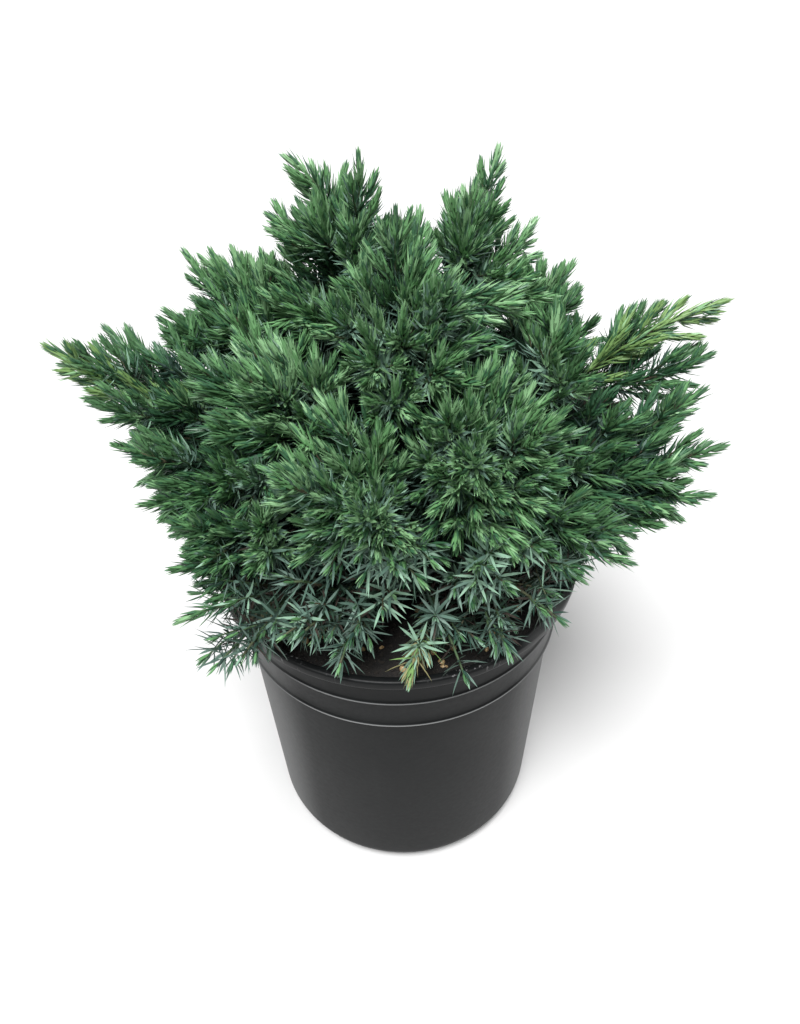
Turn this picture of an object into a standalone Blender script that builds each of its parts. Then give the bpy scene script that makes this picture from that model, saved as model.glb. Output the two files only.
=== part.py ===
"""A blue star juniper in its black nursery pot: pot, soil, short stem, boughs and foliage masses.

Metres, +Z up. The origin is the centre of the pot's flat underside, and -Y is the front.
Every foliage mass keeps to its own space, a cone of directions from the fork of the stem.
"""

import math
import random

import bmesh
import bpy
from mathutils import Matrix, Vector, noise

MM = 0.001
GAP = 0.3 * MM

# Pot: a thin turned shell with a flared lip, two raised rings and a rounded foot.
POT_HEIGHT = 165 * MM
LIP_RADIUS = 82.5 * MM
LIP_WIDTH = 3.8 * MM
LIP_DEPTH = 4.6 * MM
NECK_RADIUS = 76.3 * MM
NECK_DEPTH = 8 * MM
RING_DEPTHS = (22 * MM, 38 * MM)
RING_HEIGHT = 1.6 * MM
RING_PROUD = 0.8 * MM
BAND_RADIUS = 74.6 * MM
BELLY_RADIUS = 73.2 * MM
FOOT_RADIUS = 68.4 * MM
FOOT_ROUND = 10 * MM
WALL = 1.7 * MM
POT_STEPS = 32
DRAIN_HOLES = 6
DRAIN_RADIUS = 5 * MM
DRAIN_CIRCLE = 47 * MM

# Soil: fills the pot to a little below the lip.
SOIL_DROP = 12.5 * MM
SOIL_MOUND = 2.4 * MM
SOIL_FLAT = 20 * MM

# Stem: short, flared at the soil and leaning a little, with a flat cut at its foot.
STEM_HEIGHT = 42 * MM
STEM_FOOT_RADIUS = 11 * MM
STEM_RADIUS = 6.6 * MM
STEM_TIP_RADIUS = 4.2 * MM
STEM_LEAN = Vector((3 * MM, -2 * MM, 0))

# The fork, from which the directions and reaches of the arms are measured.
FORK = Vector((0, 0, 185 * MM))
# Each arm is a bough with its mass, and its furthest tips: each has an azimuth and an
# elevation in degrees, and a reach in millimetres. The bough follows the first one.
ARMS = {
    "left_tip": ((175, 30, 161), (187, 31, 138), (163, 30, 149)),
    "left": ((198, 30, 128), (206, 23, 117)),
    "front_left_mid": ((217, 14, 111), (214, 23, 111)),
    "front_left_low": ((228, -1, 115), (220, 3, 113)),
    "front_low_left": ((254, -6, 92), (245, 4, 92)),
    "front_low_right": ((286, -10, 95), (272, -8, 94)),
    "front_right_low": ((311, 0, 99), (298, -6, 94)),
    "front_right_mid": ((328, 8, 111), (330, 15, 112)),
    "right": ((348, 20, 142), (343, 14, 136)),
    "right_tip": ((10, 31, 165), (3, 28, 149), (18, 32, 144)),
    "back_right_mid": ((44, 26, 143), (36, 34, 131)),
    "back_right_high": ((62, 49, 166), (54, 38, 151), (58, 60, 143)),
    "back_mid": ((95, 28, 142), (80, 24, 138), (112, 25, 138)),
    "back_high": ((110, 61, 158), (101, 69, 150), (122, 62, 155), (131, 58, 137)),
    "back_left_mid": ((146, 43, 145), (156, 37, 132), (138, 50, 127)),
    "back_right_low": ((28, -2, 112), (12, 3, 114)),
    "back_low_right": ((72, -3, 114), (52, 0, 112)),
    "back_low_left": ((116, -2, 114), (96, 0, 114)),
    "back_left_low": ((160, -2, 114), (140, 2, 114)),
    "high_left": ((208, 56, 114), (188, 48, 120)),
    "high_front": ((262, 38, 108), (240, 42, 110)),
    "high_right": ((318, 46, 114), (292, 46, 110)),
    "top": ((75, 84, 141), (330, 78, 122)),
}

# Boughs: one tapering limb each, from the stem to where its mass begins.
BOUGH_SHARE = 0.3
BOUGH_FOOT_RADIUS = 2.2 * MM
BOUGH_TIP_RADIUS = 1.5 * MM
BOUGH_POINTS = 6
BOUGH_CLEAR = 5.2 * MM
BOUGH_STEP = 1 * MM
BOUGH_TRIES = 50
LOWEST_BOUGH = 8 * MM
HIGHEST_BOUGH = 38 * MM
BOUGH_RISE = 34 * MM
TOP_ARM = "top"

# Foliage masses: a small lumpy core, and shoots that stand out of it with needles on them.
MASS_CORE_AT = 0.57
MASS_CORE_LENGTH = 0.24
MASS_CORE_WIDTH = 0.2
MASS_CORE_LUMPS = 0.5
SPACE_MARGIN = 0.4 * MM
LOWEST_FOLIAGE = POT_HEIGHT + 1.2 * MM
SHOOTS = 9
SHOOT_SPREAD = 30
SHOOT_SHORTER = 0.28
SHOOT_LENGTH = 32 * MM
SHOOT_RADIUS = 7.5 * MM
SHOOT_TIP_RADIUS = 0.4 * MM
SHOOT_ROOTS = (0.5, 0.74)
STALK_RADIUS = 1.6 * MM
NEEDLE_LENGTH = 15 * MM
NEEDLE_RADIUS = 1.7 * MM
NEEDLE_LEAN = (46, 46, 30)
WHORLS = (0.35, 0.6, 0.8)
GOLDEN_ANGLE = math.radians(137.5)
SEED = 5


def clear_scene():
    for thing in list(bpy.data.objects):
        bpy.data.objects.remove(thing)


def new_collection(name, hidden=False):
    collection = bpy.data.collections.new(name)
    collection.hide_render = hidden
    bpy.context.scene.collection.children.link(collection)
    return collection


def new_material(name, colour, roughness):
    material = bpy.data.materials.new(name)
    material.use_nodes = True
    shader = material.node_tree.nodes["Principled BSDF"]
    shader.inputs["Base Color"].default_value = (*colour, 1)
    shader.inputs["Roughness"].default_value = roughness
    shader.inputs["Metallic"].default_value = 0
    return material


def add_object(name, mesh, collection, material=None):
    thing = bpy.data.objects.new(name, mesh)
    if material:
        mesh.materials.clear()
        mesh.materials.append(material)
    collection.objects.link(thing)
    return thing


def mesh_from(bm, name):
    mesh = bpy.data.meshes.new(name)
    bm.to_mesh(mesh)
    bm.free()
    return mesh


def evaluated_mesh(thing):
    graph = bpy.context.evaluated_depsgraph_get()
    return bpy.data.meshes.new_from_object(thing.evaluated_get(graph))


def direction(azimuth, elevation):
    """The unit vector at an azimuth from +X and an elevation above level, both in degrees."""
    turn, rise = math.radians(azimuth), math.radians(elevation)
    return Vector((math.cos(rise) * math.cos(turn), math.cos(rise) * math.sin(turn), math.sin(rise)))


def turned(name, profile, steps, collection, material):
    """A solid turned about Z, from (radius, height) points that run down its outer side."""
    bm = bmesh.new()
    points = [bm.verts.new((radius, 0, height)) for radius, height in profile]
    for upper, lower in zip(points, points[1:]):
        bm.edges.new((upper, lower))
    thing = add_object(name, mesh_from(bm, name), collection, material)
    screw = thing.modifiers.new("Turn", "SCREW")
    screw.axis = "Z"
    screw.steps = steps
    screw.render_steps = steps
    screw.use_merge_vertices = True
    screw.merge_threshold = 0.0001
    screw.use_smooth_shade = True
    return thing


def arc(centre, radius, start, end, steps):
    """Points of a round corner in a profile, with its angles in degrees."""
    angles = [math.radians(start + (end - start) * step / steps) for step in range(steps + 1)]
    return [(centre[0] + radius * math.cos(a), centre[1] + radius * math.sin(a)) for a in angles]


def raised_ring(depth, above, below):
    """A small ridge round the wall, at a depth below the lip, between two wall radii."""
    height = POT_HEIGHT - depth
    proud = max(above, below) + RING_PROUD
    return [(above, height + RING_HEIGHT), (proud, height), (below, height - RING_HEIGHT)]


def make_pot(collection, cutters, material):
    neck = POT_HEIGHT - NECK_DEPTH
    inner_lip = LIP_RADIUS - LIP_WIDTH
    outside = [
        (inner_lip, POT_HEIGHT - WALL / 2),
        (inner_lip + WALL / 2, POT_HEIGHT),
        (LIP_RADIUS - WALL / 2, POT_HEIGHT),
        (LIP_RADIUS, POT_HEIGHT - WALL / 2),
        (LIP_RADIUS - WALL / 4, POT_HEIGHT - LIP_DEPTH),
        (NECK_RADIUS + WALL, POT_HEIGHT - LIP_DEPTH + WALL / 2),
        (NECK_RADIUS, neck),
    ]
    outside += raised_ring(RING_DEPTHS[0], NECK_RADIUS - WALL / 2, BAND_RADIUS)
    outside += raised_ring(RING_DEPTHS[1], BAND_RADIUS, BELLY_RADIUS)
    foot_centre = (FOOT_RADIUS - FOOT_ROUND, FOOT_ROUND)
    outside += arc(foot_centre, FOOT_ROUND, 0, -90, 3)
    inner_round = arc(foot_centre, FOOT_ROUND - WALL, -90, 0, 2)
    inside = [(0, WALL)] + inner_round + [
        (BELLY_RADIUS - WALL, POT_HEIGHT - RING_DEPTHS[1]),
        (NECK_RADIUS - WALL, neck - WALL),
    ]
    pot = turned("pot", inside + outside + [(0, 0)], POT_STEPS, collection, material)
    holes = bmesh.new()
    for hole in range(DRAIN_HOLES):
        centre = DRAIN_CIRCLE * direction(360 * (hole + 0.5) / DRAIN_HOLES, 0)
        bmesh.ops.create_cone(
            holes,
            cap_ends=True,
            segments=10,
            radius1=DRAIN_RADIUS,
            radius2=DRAIN_RADIUS,
            depth=4 * WALL,
            matrix=Matrix.Translation(centre),
        )
    cutter = add_object("drain_holes", mesh_from(holes, "drain_holes"), cutters)
    cutter.display_type = "WIRE"
    cutter.hide_render = True
    cut = pot.modifiers.new("Drain holes", "BOOLEAN")
    cut.operation = "DIFFERENCE"
    cut.object = cutter
    return pot


def soil_edge_radius(height):
    """The radius of the soil at a height on the pot's inner wall, a gap inside it."""
    low, high = FOOT_ROUND, POT_HEIGHT - RING_DEPTHS[1]
    top = POT_HEIGHT - NECK_DEPTH - WALL
    if height < high:
        share = (height - low) / (high - low)
        wall = FOOT_RADIUS + share * (BELLY_RADIUS - FOOT_RADIUS)
    else:
        share = (height - high) / (top - high)
        wall = BELLY_RADIUS + share * (NECK_RADIUS - BELLY_RADIUS)
    return wall - WALL - 2 * GAP


def make_soil(collection, material):
    edge = POT_HEIGHT - SOIL_DROP
    bend = POT_HEIGHT - RING_DEPTHS[1]
    rim = soil_edge_radius(edge)
    profile = [
        (0, edge + SOIL_MOUND),
        (SOIL_FLAT, edge + SOIL_MOUND),
        ((SOIL_FLAT + rim) / 2, edge + 0.7 * SOIL_MOUND),
        (rim - 2 * SOIL_MOUND, edge + 0.1 * SOIL_MOUND),
        (rim, edge - 0.4 * SOIL_MOUND),
        (soil_edge_radius(bend), bend),
    ]
    foot_centre = (FOOT_RADIUS - FOOT_ROUND, FOOT_ROUND)
    profile += arc(foot_centre, FOOT_ROUND - WALL - 2 * GAP, 0, -90, 2)
    profile += [(0, WALL + 2 * GAP)]
    return turned("soil", profile, POT_STEPS, collection, material)


def tube(name, points, radii, collection, sides_level):
    """A tapering limb along points, as one closed mesh with flat ends."""
    curve = bpy.data.curves.new(name, "CURVE")
    curve.dimensions = "3D"
    curve.bevel_depth = 1
    curve.bevel_resolution = sides_level
    curve.use_fill_caps = True
    spline = curve.splines.new("POLY")
    spline.points.add(len(points) - 1)
    for spot, point, radius in zip(spline.points, points, radii):
        spot.co = (*point, 1)
        spot.radius = radius
    guide = bpy.data.objects.new(name + "_curve", curve)
    collection.objects.link(guide)
    mesh = evaluated_mesh(guide)
    bpy.data.objects.remove(guide)
    bm = bmesh.new()
    bm.from_mesh(mesh)
    bmesh.ops.remove_doubles(bm, verts=bm.verts, dist=0.00001)
    bmesh.ops.recalc_face_normals(bm, faces=bm.faces)
    bm.to_mesh(mesh)
    bm.free()
    return mesh


def stem_foot_height():
    return POT_HEIGHT - SOIL_DROP + SOIL_MOUND + GAP


def stem_line(height):
    """The centre of the stem at a height above its foot."""
    share = max(0.0, height / STEM_HEIGHT - 0.15)
    return Vector((0, 0, stem_foot_height() + height)) + share * STEM_LEAN


def stem_sections(grown=0.0):
    shares = (0, 0.06, 0.15, 0.3, 0.6, 1)
    points = [stem_line(share * STEM_HEIGHT) for share in shares]
    radii = []
    for share in shares:
        flare = (STEM_FOOT_RADIUS - STEM_RADIUS) * math.exp(-9 * share)
        radii.append(STEM_RADIUS + share * (STEM_TIP_RADIUS - STEM_RADIUS) + flare + grown)
    return points, radii


def make_stem(collection, cutters, material):
    points, radii = stem_sections()
    stem = add_object("stem", tube("stem", points, radii, collection, 4), collection, material)
    stem.data.shade_smooth()
    points, radii = stem_sections(GAP)
    points[-1] = points[-1] + Vector((0, 0, GAP))
    grown = add_object("grown_stem", tube("grown_stem", points, radii, cutters, 4), cutters)
    grown.display_type = "WIRE"
    grown.hide_render = True
    return stem, grown


def bough_line(name, height):
    """Points along a bough: it leaves the stem at a height and bends into its arm's direction."""
    azimuth, elevation, reach = ARMS[name][0]
    along = direction(azimuth, elevation)
    end = FORK + BOUGH_SHARE * reach * MM * along
    if name == TOP_ARM:
        root = stem_line(STEM_HEIGHT) + Vector((0, 0, GAP))
        leave = Vector((0, 0, 1))
    else:
        root = stem_line(height)
        leave = direction(azimuth, elevation / 2 + 8)
    span = (end - root).length
    knots = (root, root + 0.4 * span * leave, end - 0.35 * span * along, end)
    points = []
    for step in range(BOUGH_POINTS):
        t = step / (BOUGH_POINTS - 1)
        weights = ((1 - t) ** 3, 3 * t * (1 - t) ** 2, 3 * t * t * (1 - t), t ** 3)
        points.append(sum((w * k for w, k in zip(weights, knots)), Vector()))
    points[-2] = end - 0.2 * span * along
    return points


def outside_stem(line):
    """Close points along a bough, from where it leaves the stem."""
    close = [a.lerp(b, step / 8) for a, b in zip(line, line[1:]) for step in range(9)]
    centres = [stem_line(min(STEM_HEIGHT, point.z - stem_foot_height())) for point in close]
    return [point for point, centre in zip(close, centres) if (point - centre).length > STEM_RADIUS]


def place_boughs():
    """Steeper arms leave the stem higher up, each as near its own height as the others let it."""
    rises = [tips[0][1] for tips in ARMS.values()]
    placed, taken = {}, {TOP_ARM: outside_stem(bough_line(TOP_ARM, STEM_HEIGHT))}
    for name in sorted(ARMS, key=lambda arm: ARMS[arm][0][1]):
        share = (ARMS[name][0][1] - min(rises)) / (max(rises) - min(rises))
        wish = LOWEST_BOUGH + share * BOUGH_RISE
        for step in range(BOUGH_TRIES):
            shift = (step + 1) // 2 * BOUGH_STEP * (1 if step % 2 else -1)
            height = min(max(wish + shift, LOWEST_BOUGH), HIGHEST_BOUGH)
            line = bough_line(name, height)
            spots = outside_stem(line)
            others = [spot for other in taken if other != name for spot in taken[other]]
            if all((a - b).length > BOUGH_CLEAR for a in spots for b in others):
                break
        placed[name], taken[name] = line, spots
    return placed


def make_bough(name, points, collection, grown_stem, material):
    last = len(points) - 1
    radii = [
        BOUGH_FOOT_RADIUS + step / last * (BOUGH_TIP_RADIUS - BOUGH_FOOT_RADIUS)
        for step in range(last + 1)
    ]
    node = "bough_" + name
    bough = add_object(node, tube(node, points, radii, collection, 1), collection, material)
    bough.data.shade_smooth()
    if name != TOP_ARM:
        cut = bough.modifiers.new("Clear of the stem", "BOOLEAN")
        cut.operation = "DIFFERENCE"
        cut.object = grown_stem
    return bough


def middle_of(name):
    """The direction in the middle of an arm's tips."""
    return sum((direction(tip[0], tip[1]) for tip in ARMS[name]), Vector()).normalized()


class Space:
    """The room that one mass keeps to: a convex cone from the fork, past its bough's end."""

    def __init__(self, name):
        azimuth, elevation, reach = ARMS[name][0]
        self.along = direction(azimuth, elevation)
        self.reach = reach * MM
        self.start = FORK + BOUGH_SHARE * self.reach * self.along
        middle = middle_of(name)
        others = [middle_of(other) for other in ARMS if other != name]
        self.walls = [(middle - other).normalized() for other in others]

    def holds(self, point, margin=SPACE_MARGIN):
        out = point - FORK
        if point.z < LOWEST_FOLIAGE or out.length > self.reach + NEEDLE_LENGTH / 4:
            return False
        if (point - self.start).dot(self.along) < margin:
            return False
        return all(out.dot(wall) > margin for wall in self.walls)

    def holds_mesh(self, bm):
        return all(self.holds(vertex.co) for vertex in bm.verts)


def spike(start, end, start_radius, end_radius, roll=0.0):
    """A three-sided twig, spindle or needle between two points."""
    along = end - start
    bm = bmesh.new()
    turn = along.to_track_quat("Z", "Y").to_matrix().to_4x4()
    bmesh.ops.create_cone(
        bm,
        cap_ends=True,
        segments=3,
        radius1=start_radius,
        radius2=end_radius,
        depth=along.length,
        matrix=Matrix.Translation((start + end) / 2) @ turn @ Matrix.Rotation(roll, 4, "Z"),
    )
    bmesh.ops.remove_doubles(bm, verts=bm.verts, dist=0.000001)
    return bm


def across(along, angle):
    """A unit vector square to another one, turned round it by an angle."""
    side = along.orthogonal().normalized()
    return (Matrix.Rotation(angle, 3, along) @ side).normalized()


def lumpy_core(space, seed):
    """A small closed lump that the shoots stand out of, drawn in where its space ends."""
    bm = bmesh.new()
    bmesh.ops.create_icosphere(bm, subdivisions=2, radius=1)
    centre = FORK + MASS_CORE_AT * space.reach * space.along
    stretch = Vector((MASS_CORE_WIDTH, MASS_CORE_WIDTH, MASS_CORE_LENGTH)) * space.reach
    turn = space.along.to_track_quat("Z", "Y").to_matrix()
    for vertex in bm.verts:
        lump = 1 + MASS_CORE_LUMPS * noise.noise(vertex.co * 2.1 + Vector((seed, 0, 0)))
        ray = turn @ (vertex.co * stretch) * lump
        while not space.holds(centre + ray, 2 * SPACE_MARGIN):
            ray *= 0.94
        vertex.co = centre + ray
    return bm


def shoot_parts(space, end, number, chance):
    """A tapering shoot from the mass's middle and the needles that stand out of its end."""
    low, high = SHOOT_ROOTS
    root_share = high if number == 0 else low + (high - low) * (number * 0.618 % 1)
    start = FORK + root_share * space.reach * space.along
    along = (end - start).normalized()
    foot = end - SHOOT_LENGTH * along
    shoot = spike(start, end, SHOOT_RADIUS, SHOOT_TIP_RADIUS, chance.random())
    if not space.holds_mesh(shoot):
        shoot.free()
        return []
    parts = [shoot]
    for whorl, share in enumerate(WHORLS):
        lean = math.radians(NEEDLE_LEAN[whorl])
        angle = whorl * GOLDEN_ANGLE + number + chance.random()
        out = across(along, angle)
        root = foot + share * SHOOT_LENGTH * along
        tip = root + NEEDLE_LENGTH * (math.cos(lean) * along + math.sin(lean) * out)
        blade = spike(root, tip, NEEDLE_RADIUS, 0.0, angle)
        if space.holds_mesh(blade):
            parts.append(blade)
        else:
            blade.free()
    return parts


def shoot_ends(name, space, chance):
    """Where the shoots of a mass end: its furthest tips first, then others round them."""
    ends = [reach * MM * direction(azimuth, rise) for azimuth, rise, reach in ARMS[name]]
    for number in range(1, SHOOTS + 1 - len(ends)):
        angle = number * GOLDEN_ANGLE + chance.random()
        spread = SHOOT_SPREAD * math.sqrt(number / SHOOTS)
        while spread > 2:
            tilt = math.radians(spread)
            way = math.cos(tilt) * space.along + math.sin(tilt) * across(space.along, angle)
            shorter = SHOOT_SHORTER * (spread / SHOOT_SPREAD) + 0.06 * chance.random()
            tip = (1 - shorter) * space.reach * way
            if space.holds(FORK + tip, 6 * SPACE_MARGIN):
                ends.append(tip)
                break
            spread -= 2
    return [FORK + tip for tip in ends]


def fuse(target, pieces, name):
    """Joins the pieces to the target with one union, and removes the pieces."""
    group = new_collection(name + "_pieces", hidden=True)
    for number, bm in enumerate(pieces):
        add_object(f"{name}_piece_{number}", mesh_from(bm, name), group)
    union = target.modifiers.new("Union", "BOOLEAN")
    union.operation = "UNION"
    union.operand_type = "COLLECTION"
    union.collection = group
    union.solver = "MANIFOLD"
    joined = evaluated_mesh(target)
    target.modifiers.remove(union)
    for piece in list(group.objects):
        bpy.data.objects.remove(piece)
    bpy.data.collections.remove(group)
    return joined


def islands(bm):
    """The separate shells of a mesh, as lists of faces."""
    left = set(bm.faces)
    while left:
        shell, front = [], [left.pop()]
        while front:
            face = front.pop()
            shell.append(face)
            for edge in face.edges:
                for other in edge.link_faces:
                    if other in left:
                        left.remove(other)
                        front.append(other)
        yield shell


def shell_volume(shell):
    volume = 0.0
    for face in shell:
        corners = [vertex.co for vertex in face.verts]
        for second, third in zip(corners[1:], corners[2:]):
            volume += corners[0].dot(second.cross(third)) / 6
    return volume


def keep_main_body(mesh):
    """Drops loose scraps and the walls of sealed hollows."""
    bm = bmesh.new()
    bm.from_mesh(mesh)
    shells = list(islands(bm))
    main = max(shells, key=shell_volume)
    scraps = [face for shell in shells if shell is not main for face in shell]
    bmesh.ops.delete(bm, geom=scraps, context="FACES")
    bmesh.ops.triangulate(bm, faces=bm.faces)
    bm.to_mesh(mesh)
    bm.free()


def make_mass(name, number, collection, material):
    space = Space(name)
    chance = random.Random(SEED + number)
    centre = FORK + MASS_CORE_AT * space.reach * space.along
    root = space.start + GAP * space.along
    pieces = [spike(root, centre, STALK_RADIUS, STALK_RADIUS)]
    for order, end in enumerate(shoot_ends(name, space, chance)):
        pieces += shoot_parts(space, end, order, chance)
    node = "foliage_" + name
    mass = add_object(node, mesh_from(lumpy_core(space, number), node), collection, material)
    mesh = fuse(mass, pieces, node)
    keep_main_body(mesh)
    mass.data = mesh
    mesh.materials.clear()
    mesh.materials.append(material)
    return mass


def main():
    clear_scene()
    collection = new_collection("blue_star_juniper_in_pot")
    cutters = new_collection("cutters", hidden=True)
    plastic = new_material("black_plastic", (0.016, 0.017, 0.018), 0.45)
    earth = new_material("potting_soil", (0.030, 0.022, 0.016), 0.95)
    bark = new_material("bark", (0.16, 0.10, 0.065), 0.9)
    needles = new_material("needles", (0.10, 0.21, 0.15), 0.6)
    make_pot(collection, cutters, plastic)
    make_soil(collection, earth)
    _, grown_stem = make_stem(collection, cutters, bark)
    boughs = place_boughs()
    for number, name in enumerate(ARMS):
        make_bough(name, boughs[name], collection, grown_stem, bark)
        make_mass(name, number, collection, needles)


main()
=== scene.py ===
"""Looks of the blue star juniper in its black nursery pot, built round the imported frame.

Metres, +Z up, the pot's underside at the origin and its front towards -Y. Every twig grows on
from the boughs by the rule that the solids follow, and carries whorls of three sharp needles.
"""

import math

import bmesh
import bpy
import numpy as np
from mathutils import Matrix, Vector, noise


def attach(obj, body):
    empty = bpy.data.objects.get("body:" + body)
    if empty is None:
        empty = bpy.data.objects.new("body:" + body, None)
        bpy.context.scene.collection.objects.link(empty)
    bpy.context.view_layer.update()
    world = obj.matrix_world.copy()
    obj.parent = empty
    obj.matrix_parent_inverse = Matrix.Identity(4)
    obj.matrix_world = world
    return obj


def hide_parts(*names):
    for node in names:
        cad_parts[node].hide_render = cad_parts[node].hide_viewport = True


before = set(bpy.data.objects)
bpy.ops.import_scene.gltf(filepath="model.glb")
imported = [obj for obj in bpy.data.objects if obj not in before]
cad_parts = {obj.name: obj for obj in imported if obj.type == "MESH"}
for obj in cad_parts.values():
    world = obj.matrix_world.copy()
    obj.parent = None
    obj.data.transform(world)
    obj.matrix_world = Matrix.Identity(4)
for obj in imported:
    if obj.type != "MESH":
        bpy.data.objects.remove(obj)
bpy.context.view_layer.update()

MM = 0.001
BODY = "root"

# Camera, at the place and angle from which the plant was photographed.
CAMERA_PLACE = Vector((0.0, -0.28943, 0.42907))
CAMERA_AIM = Vector((0.0045, 0.7603, -0.6495))
CAMERA_UP = Vector((0.035, 0.649, 0.760))
CAMERA_LENS = 29.88
SENSOR = 36.0

# Studio: a soft key from above the front, a weaker fill from behind, and an even pale surround.
WORLD_STRENGTH = 0.25
BACKDROP_STRENGTH = 0.98
KEY_STRENGTH = 6.4
KEY_PLACE = (-0.16, -0.5, 1.3)
KEY_SPREAD = 30
FILL_STRENGTH = 1.0
FILL_PLACE = (0.55, 0.75, 0.95)
FILL_SPREAD = 60
FLOOR_HALF = 6.0

# Pot, as the solids have it, with the finer lip, rings and foot of the real one.
POT_HEIGHT = 165 * MM
LIP_RADIUS = 82.5 * MM
LIP_WIDTH = 3.8 * MM
LIP_DEPTH = 4.6 * MM
NECK_RADIUS = 76.3 * MM
NECK_DEPTH = 8 * MM
RING_DEPTHS = (22 * MM, 38 * MM)
RING_HEIGHT = 1.6 * MM
RING_PROUD = 0.8 * MM
BAND_RADIUS = 74.6 * MM
BELLY_RADIUS = 73.2 * MM
FOOT_RADIUS = 68.4 * MM
FOOT_ROUND = 10 * MM
WALL = 1.7 * MM
POT_STEPS = 144
DRAIN_HOLES = 6
DRAIN_RADIUS = 5 * MM
DRAIN_CIRCLE = 47 * MM
DRAIN_CUT = 10 * MM

# Soil, its crumbs and the prills of feed on it.
SOIL_DROP = 12.5 * MM
SOIL_MOUND = 2.4 * MM
SOIL_GAP = 0.6 * MM
SOIL_SINK = 0.4 * MM
SOIL_FLOOR = 3.4 * MM
SOIL_REACH = 74 * MM
STEM_CLEAR = 10 * MM
STEM_EASE = 8 * MM
SOIL_STEPS = 120
SOIL_RINGS = 30
SCATTER_STEPS = 48
SCATTER_RINGS = 10
SCATTER_START = 12 * MM
CRUMB_EDGE = 1.5 * MM
PRILL_EDGE = 4 * MM

# Stem and boughs.
STEM_HEIGHT = 42 * MM
STEM_FOOT_RADIUS = 11 * MM
STEM_RADIUS = 6.6 * MM
STEM_TIP_RADIUS = 4.2 * MM
STEM_LEAN = Vector((3 * MM, -2 * MM, 0))
STEM_UPRIGHT = 0.15
STEM_FOOT = POT_HEIGHT - SOIL_DROP + SOIL_MOUND + 0.3 * MM
FORK = Vector((0, 0, 185 * MM))
BOUGH_SHARE = 0.3
BOUGH_FOOT_RADIUS = 2.2 * MM
BOUGH_TIP_RADIUS = 1.5 * MM
BOUGH_POINTS = 6
BOUGH_SINK = 2 * MM
BOUGH_OPENING = 8
BOUGH_BENDS = (0.4, 0.35)
BOUGH_CLEAR = 5.2 * MM
BOUGH_STEP = 1 * MM
BOUGH_TRIES = 50
LOWEST_BOUGH = 8 * MM
HIGHEST_BOUGH = 38 * MM
BOUGH_RISE = 34 * MM
TOP_ARM = "top"
LIMB_FOOT = 0.4
LIMB_TIP = 0.6
STEM_RINGS = 44
STEM_STEPS = 40
BOUGH_RINGS = 22
BOUGH_STEPS = 12
AXIS_POINTS = 6
AXIS_TIP_RADIUS = 0.9 * MM
BARK_INSET = 0.4 * MM

# Each arm's furthest tips: azimuth and elevation in degrees, and reach from the fork in mm.
ARMS = {
    "left_tip": ((175, 30, 161), (187, 31, 138), (163, 30, 149)),
    "left": ((198, 30, 128), (206, 23, 117)),
    "front_left_mid": ((217, 14, 111), (214, 23, 111)),
    "front_left_low": ((228, -1, 115), (220, 3, 113)),
    "front_low_left": ((254, -6, 92), (245, 4, 92)),
    "front_low_right": ((286, -10, 95), (272, -8, 94)),
    "front_right_low": ((311, 0, 99), (298, -6, 94)),
    "front_right_mid": ((328, 8, 111), (330, 15, 112)),
    "right": ((348, 20, 142), (343, 14, 136)),
    "right_tip": ((10, 31, 165), (3, 28, 149), (18, 32, 144)),
    "back_right_mid": ((44, 26, 143), (36, 34, 131)),
    "back_right_high": ((62, 49, 166), (54, 38, 151), (58, 60, 143)),
    "back_mid": ((95, 28, 142), (80, 24, 138), (112, 25, 138)),
    "back_high": ((110, 61, 158), (101, 69, 150), (122, 62, 155), (131, 58, 137)),
    "back_left_mid": ((146, 43, 145), (156, 37, 132), (138, 50, 127)),
    "back_right_low": ((28, -2, 112), (12, 3, 114)),
    "back_low_right": ((72, -3, 114), (52, 0, 112)),
    "back_low_left": ((116, -2, 114), (96, 0, 114)),
    "back_left_low": ((160, -2, 114), (140, 2, 114)),
    "high_left": ((208, 56, 114), (188, 48, 120)),
    "high_front": ((262, 38, 108), (240, 42, 110)),
    "high_right": ((318, 46, 114), (292, 46, 110)),
    "top": ((75, 84, 141), (330, 78, 122)),
}

# Finer tips of the outline, between those of the masses: the arm, and then as above.
FINE_TIPS = (
    ("right", 355, 27, 141),
    ("right", 2, 22, 139),
    ("top", 72, 70, 128),
    ("back_left_mid", 162, 39, 131),
    ("back_left_mid", 143, 46, 138),
    ("back_left_mid", 136, 53, 126),
    ("back_left_mid", 140, 49, 133),
    ("back_right_mid", 43, 33, 142),
    ("back_right_mid", 28, 31, 124),
    ("front_left_low", 232, 0, 116),
    ("front_left_low", 236, 2, 110),
)

# Tips that stay below the reach of their mass, in mm, and tips that lean out of their line.
TRIMS = {("back_high", 0): 10, ("top", 0): 9}
LEANS = {
    ("back_high", 2): (-0.9, 0, -0.25),
    ("back_high", 3): (-0.8, 0, -0.1),
    ("right_tip", 0): (0.1, 0, -0.2),
}

# Crown: branches spread evenly over the dome, between those that go to the tips above.
SEED = 7
GOLDEN_ANGLE = math.radians(137.5)
GOLDEN_SHARE = 0.618
FILL_BRANCHES = 204
LOWEST_FILL = -9
FILL_CHANCE = 0.09
# Inner branches deep in the crown, whose near-black needles are partly painted shade.
INNER_BRANCHES = 250
INNER_SIDES = 4
INNER_REACH = (0.46, 0.80)
INNER_ROOTS = 0.25
BRANCH_ROOTS = (0.42, 0.72)
SECOND_ROOT = 0.5
ROOT_REACH = 1.15
SHORTEST_BRANCH = 12 * MM
BRANCH_FREE_FROM = 4
SHOOT_FREE_FROM = 2
LOWEST_TWIG = POT_HEIGHT + 2.5 * MM
LOWEST_TIP = LOWEST_TWIG + 1.5 * MM
OVER_SOIL = 66 * MM
SOIL_CLEAR = 5 * MM

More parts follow.
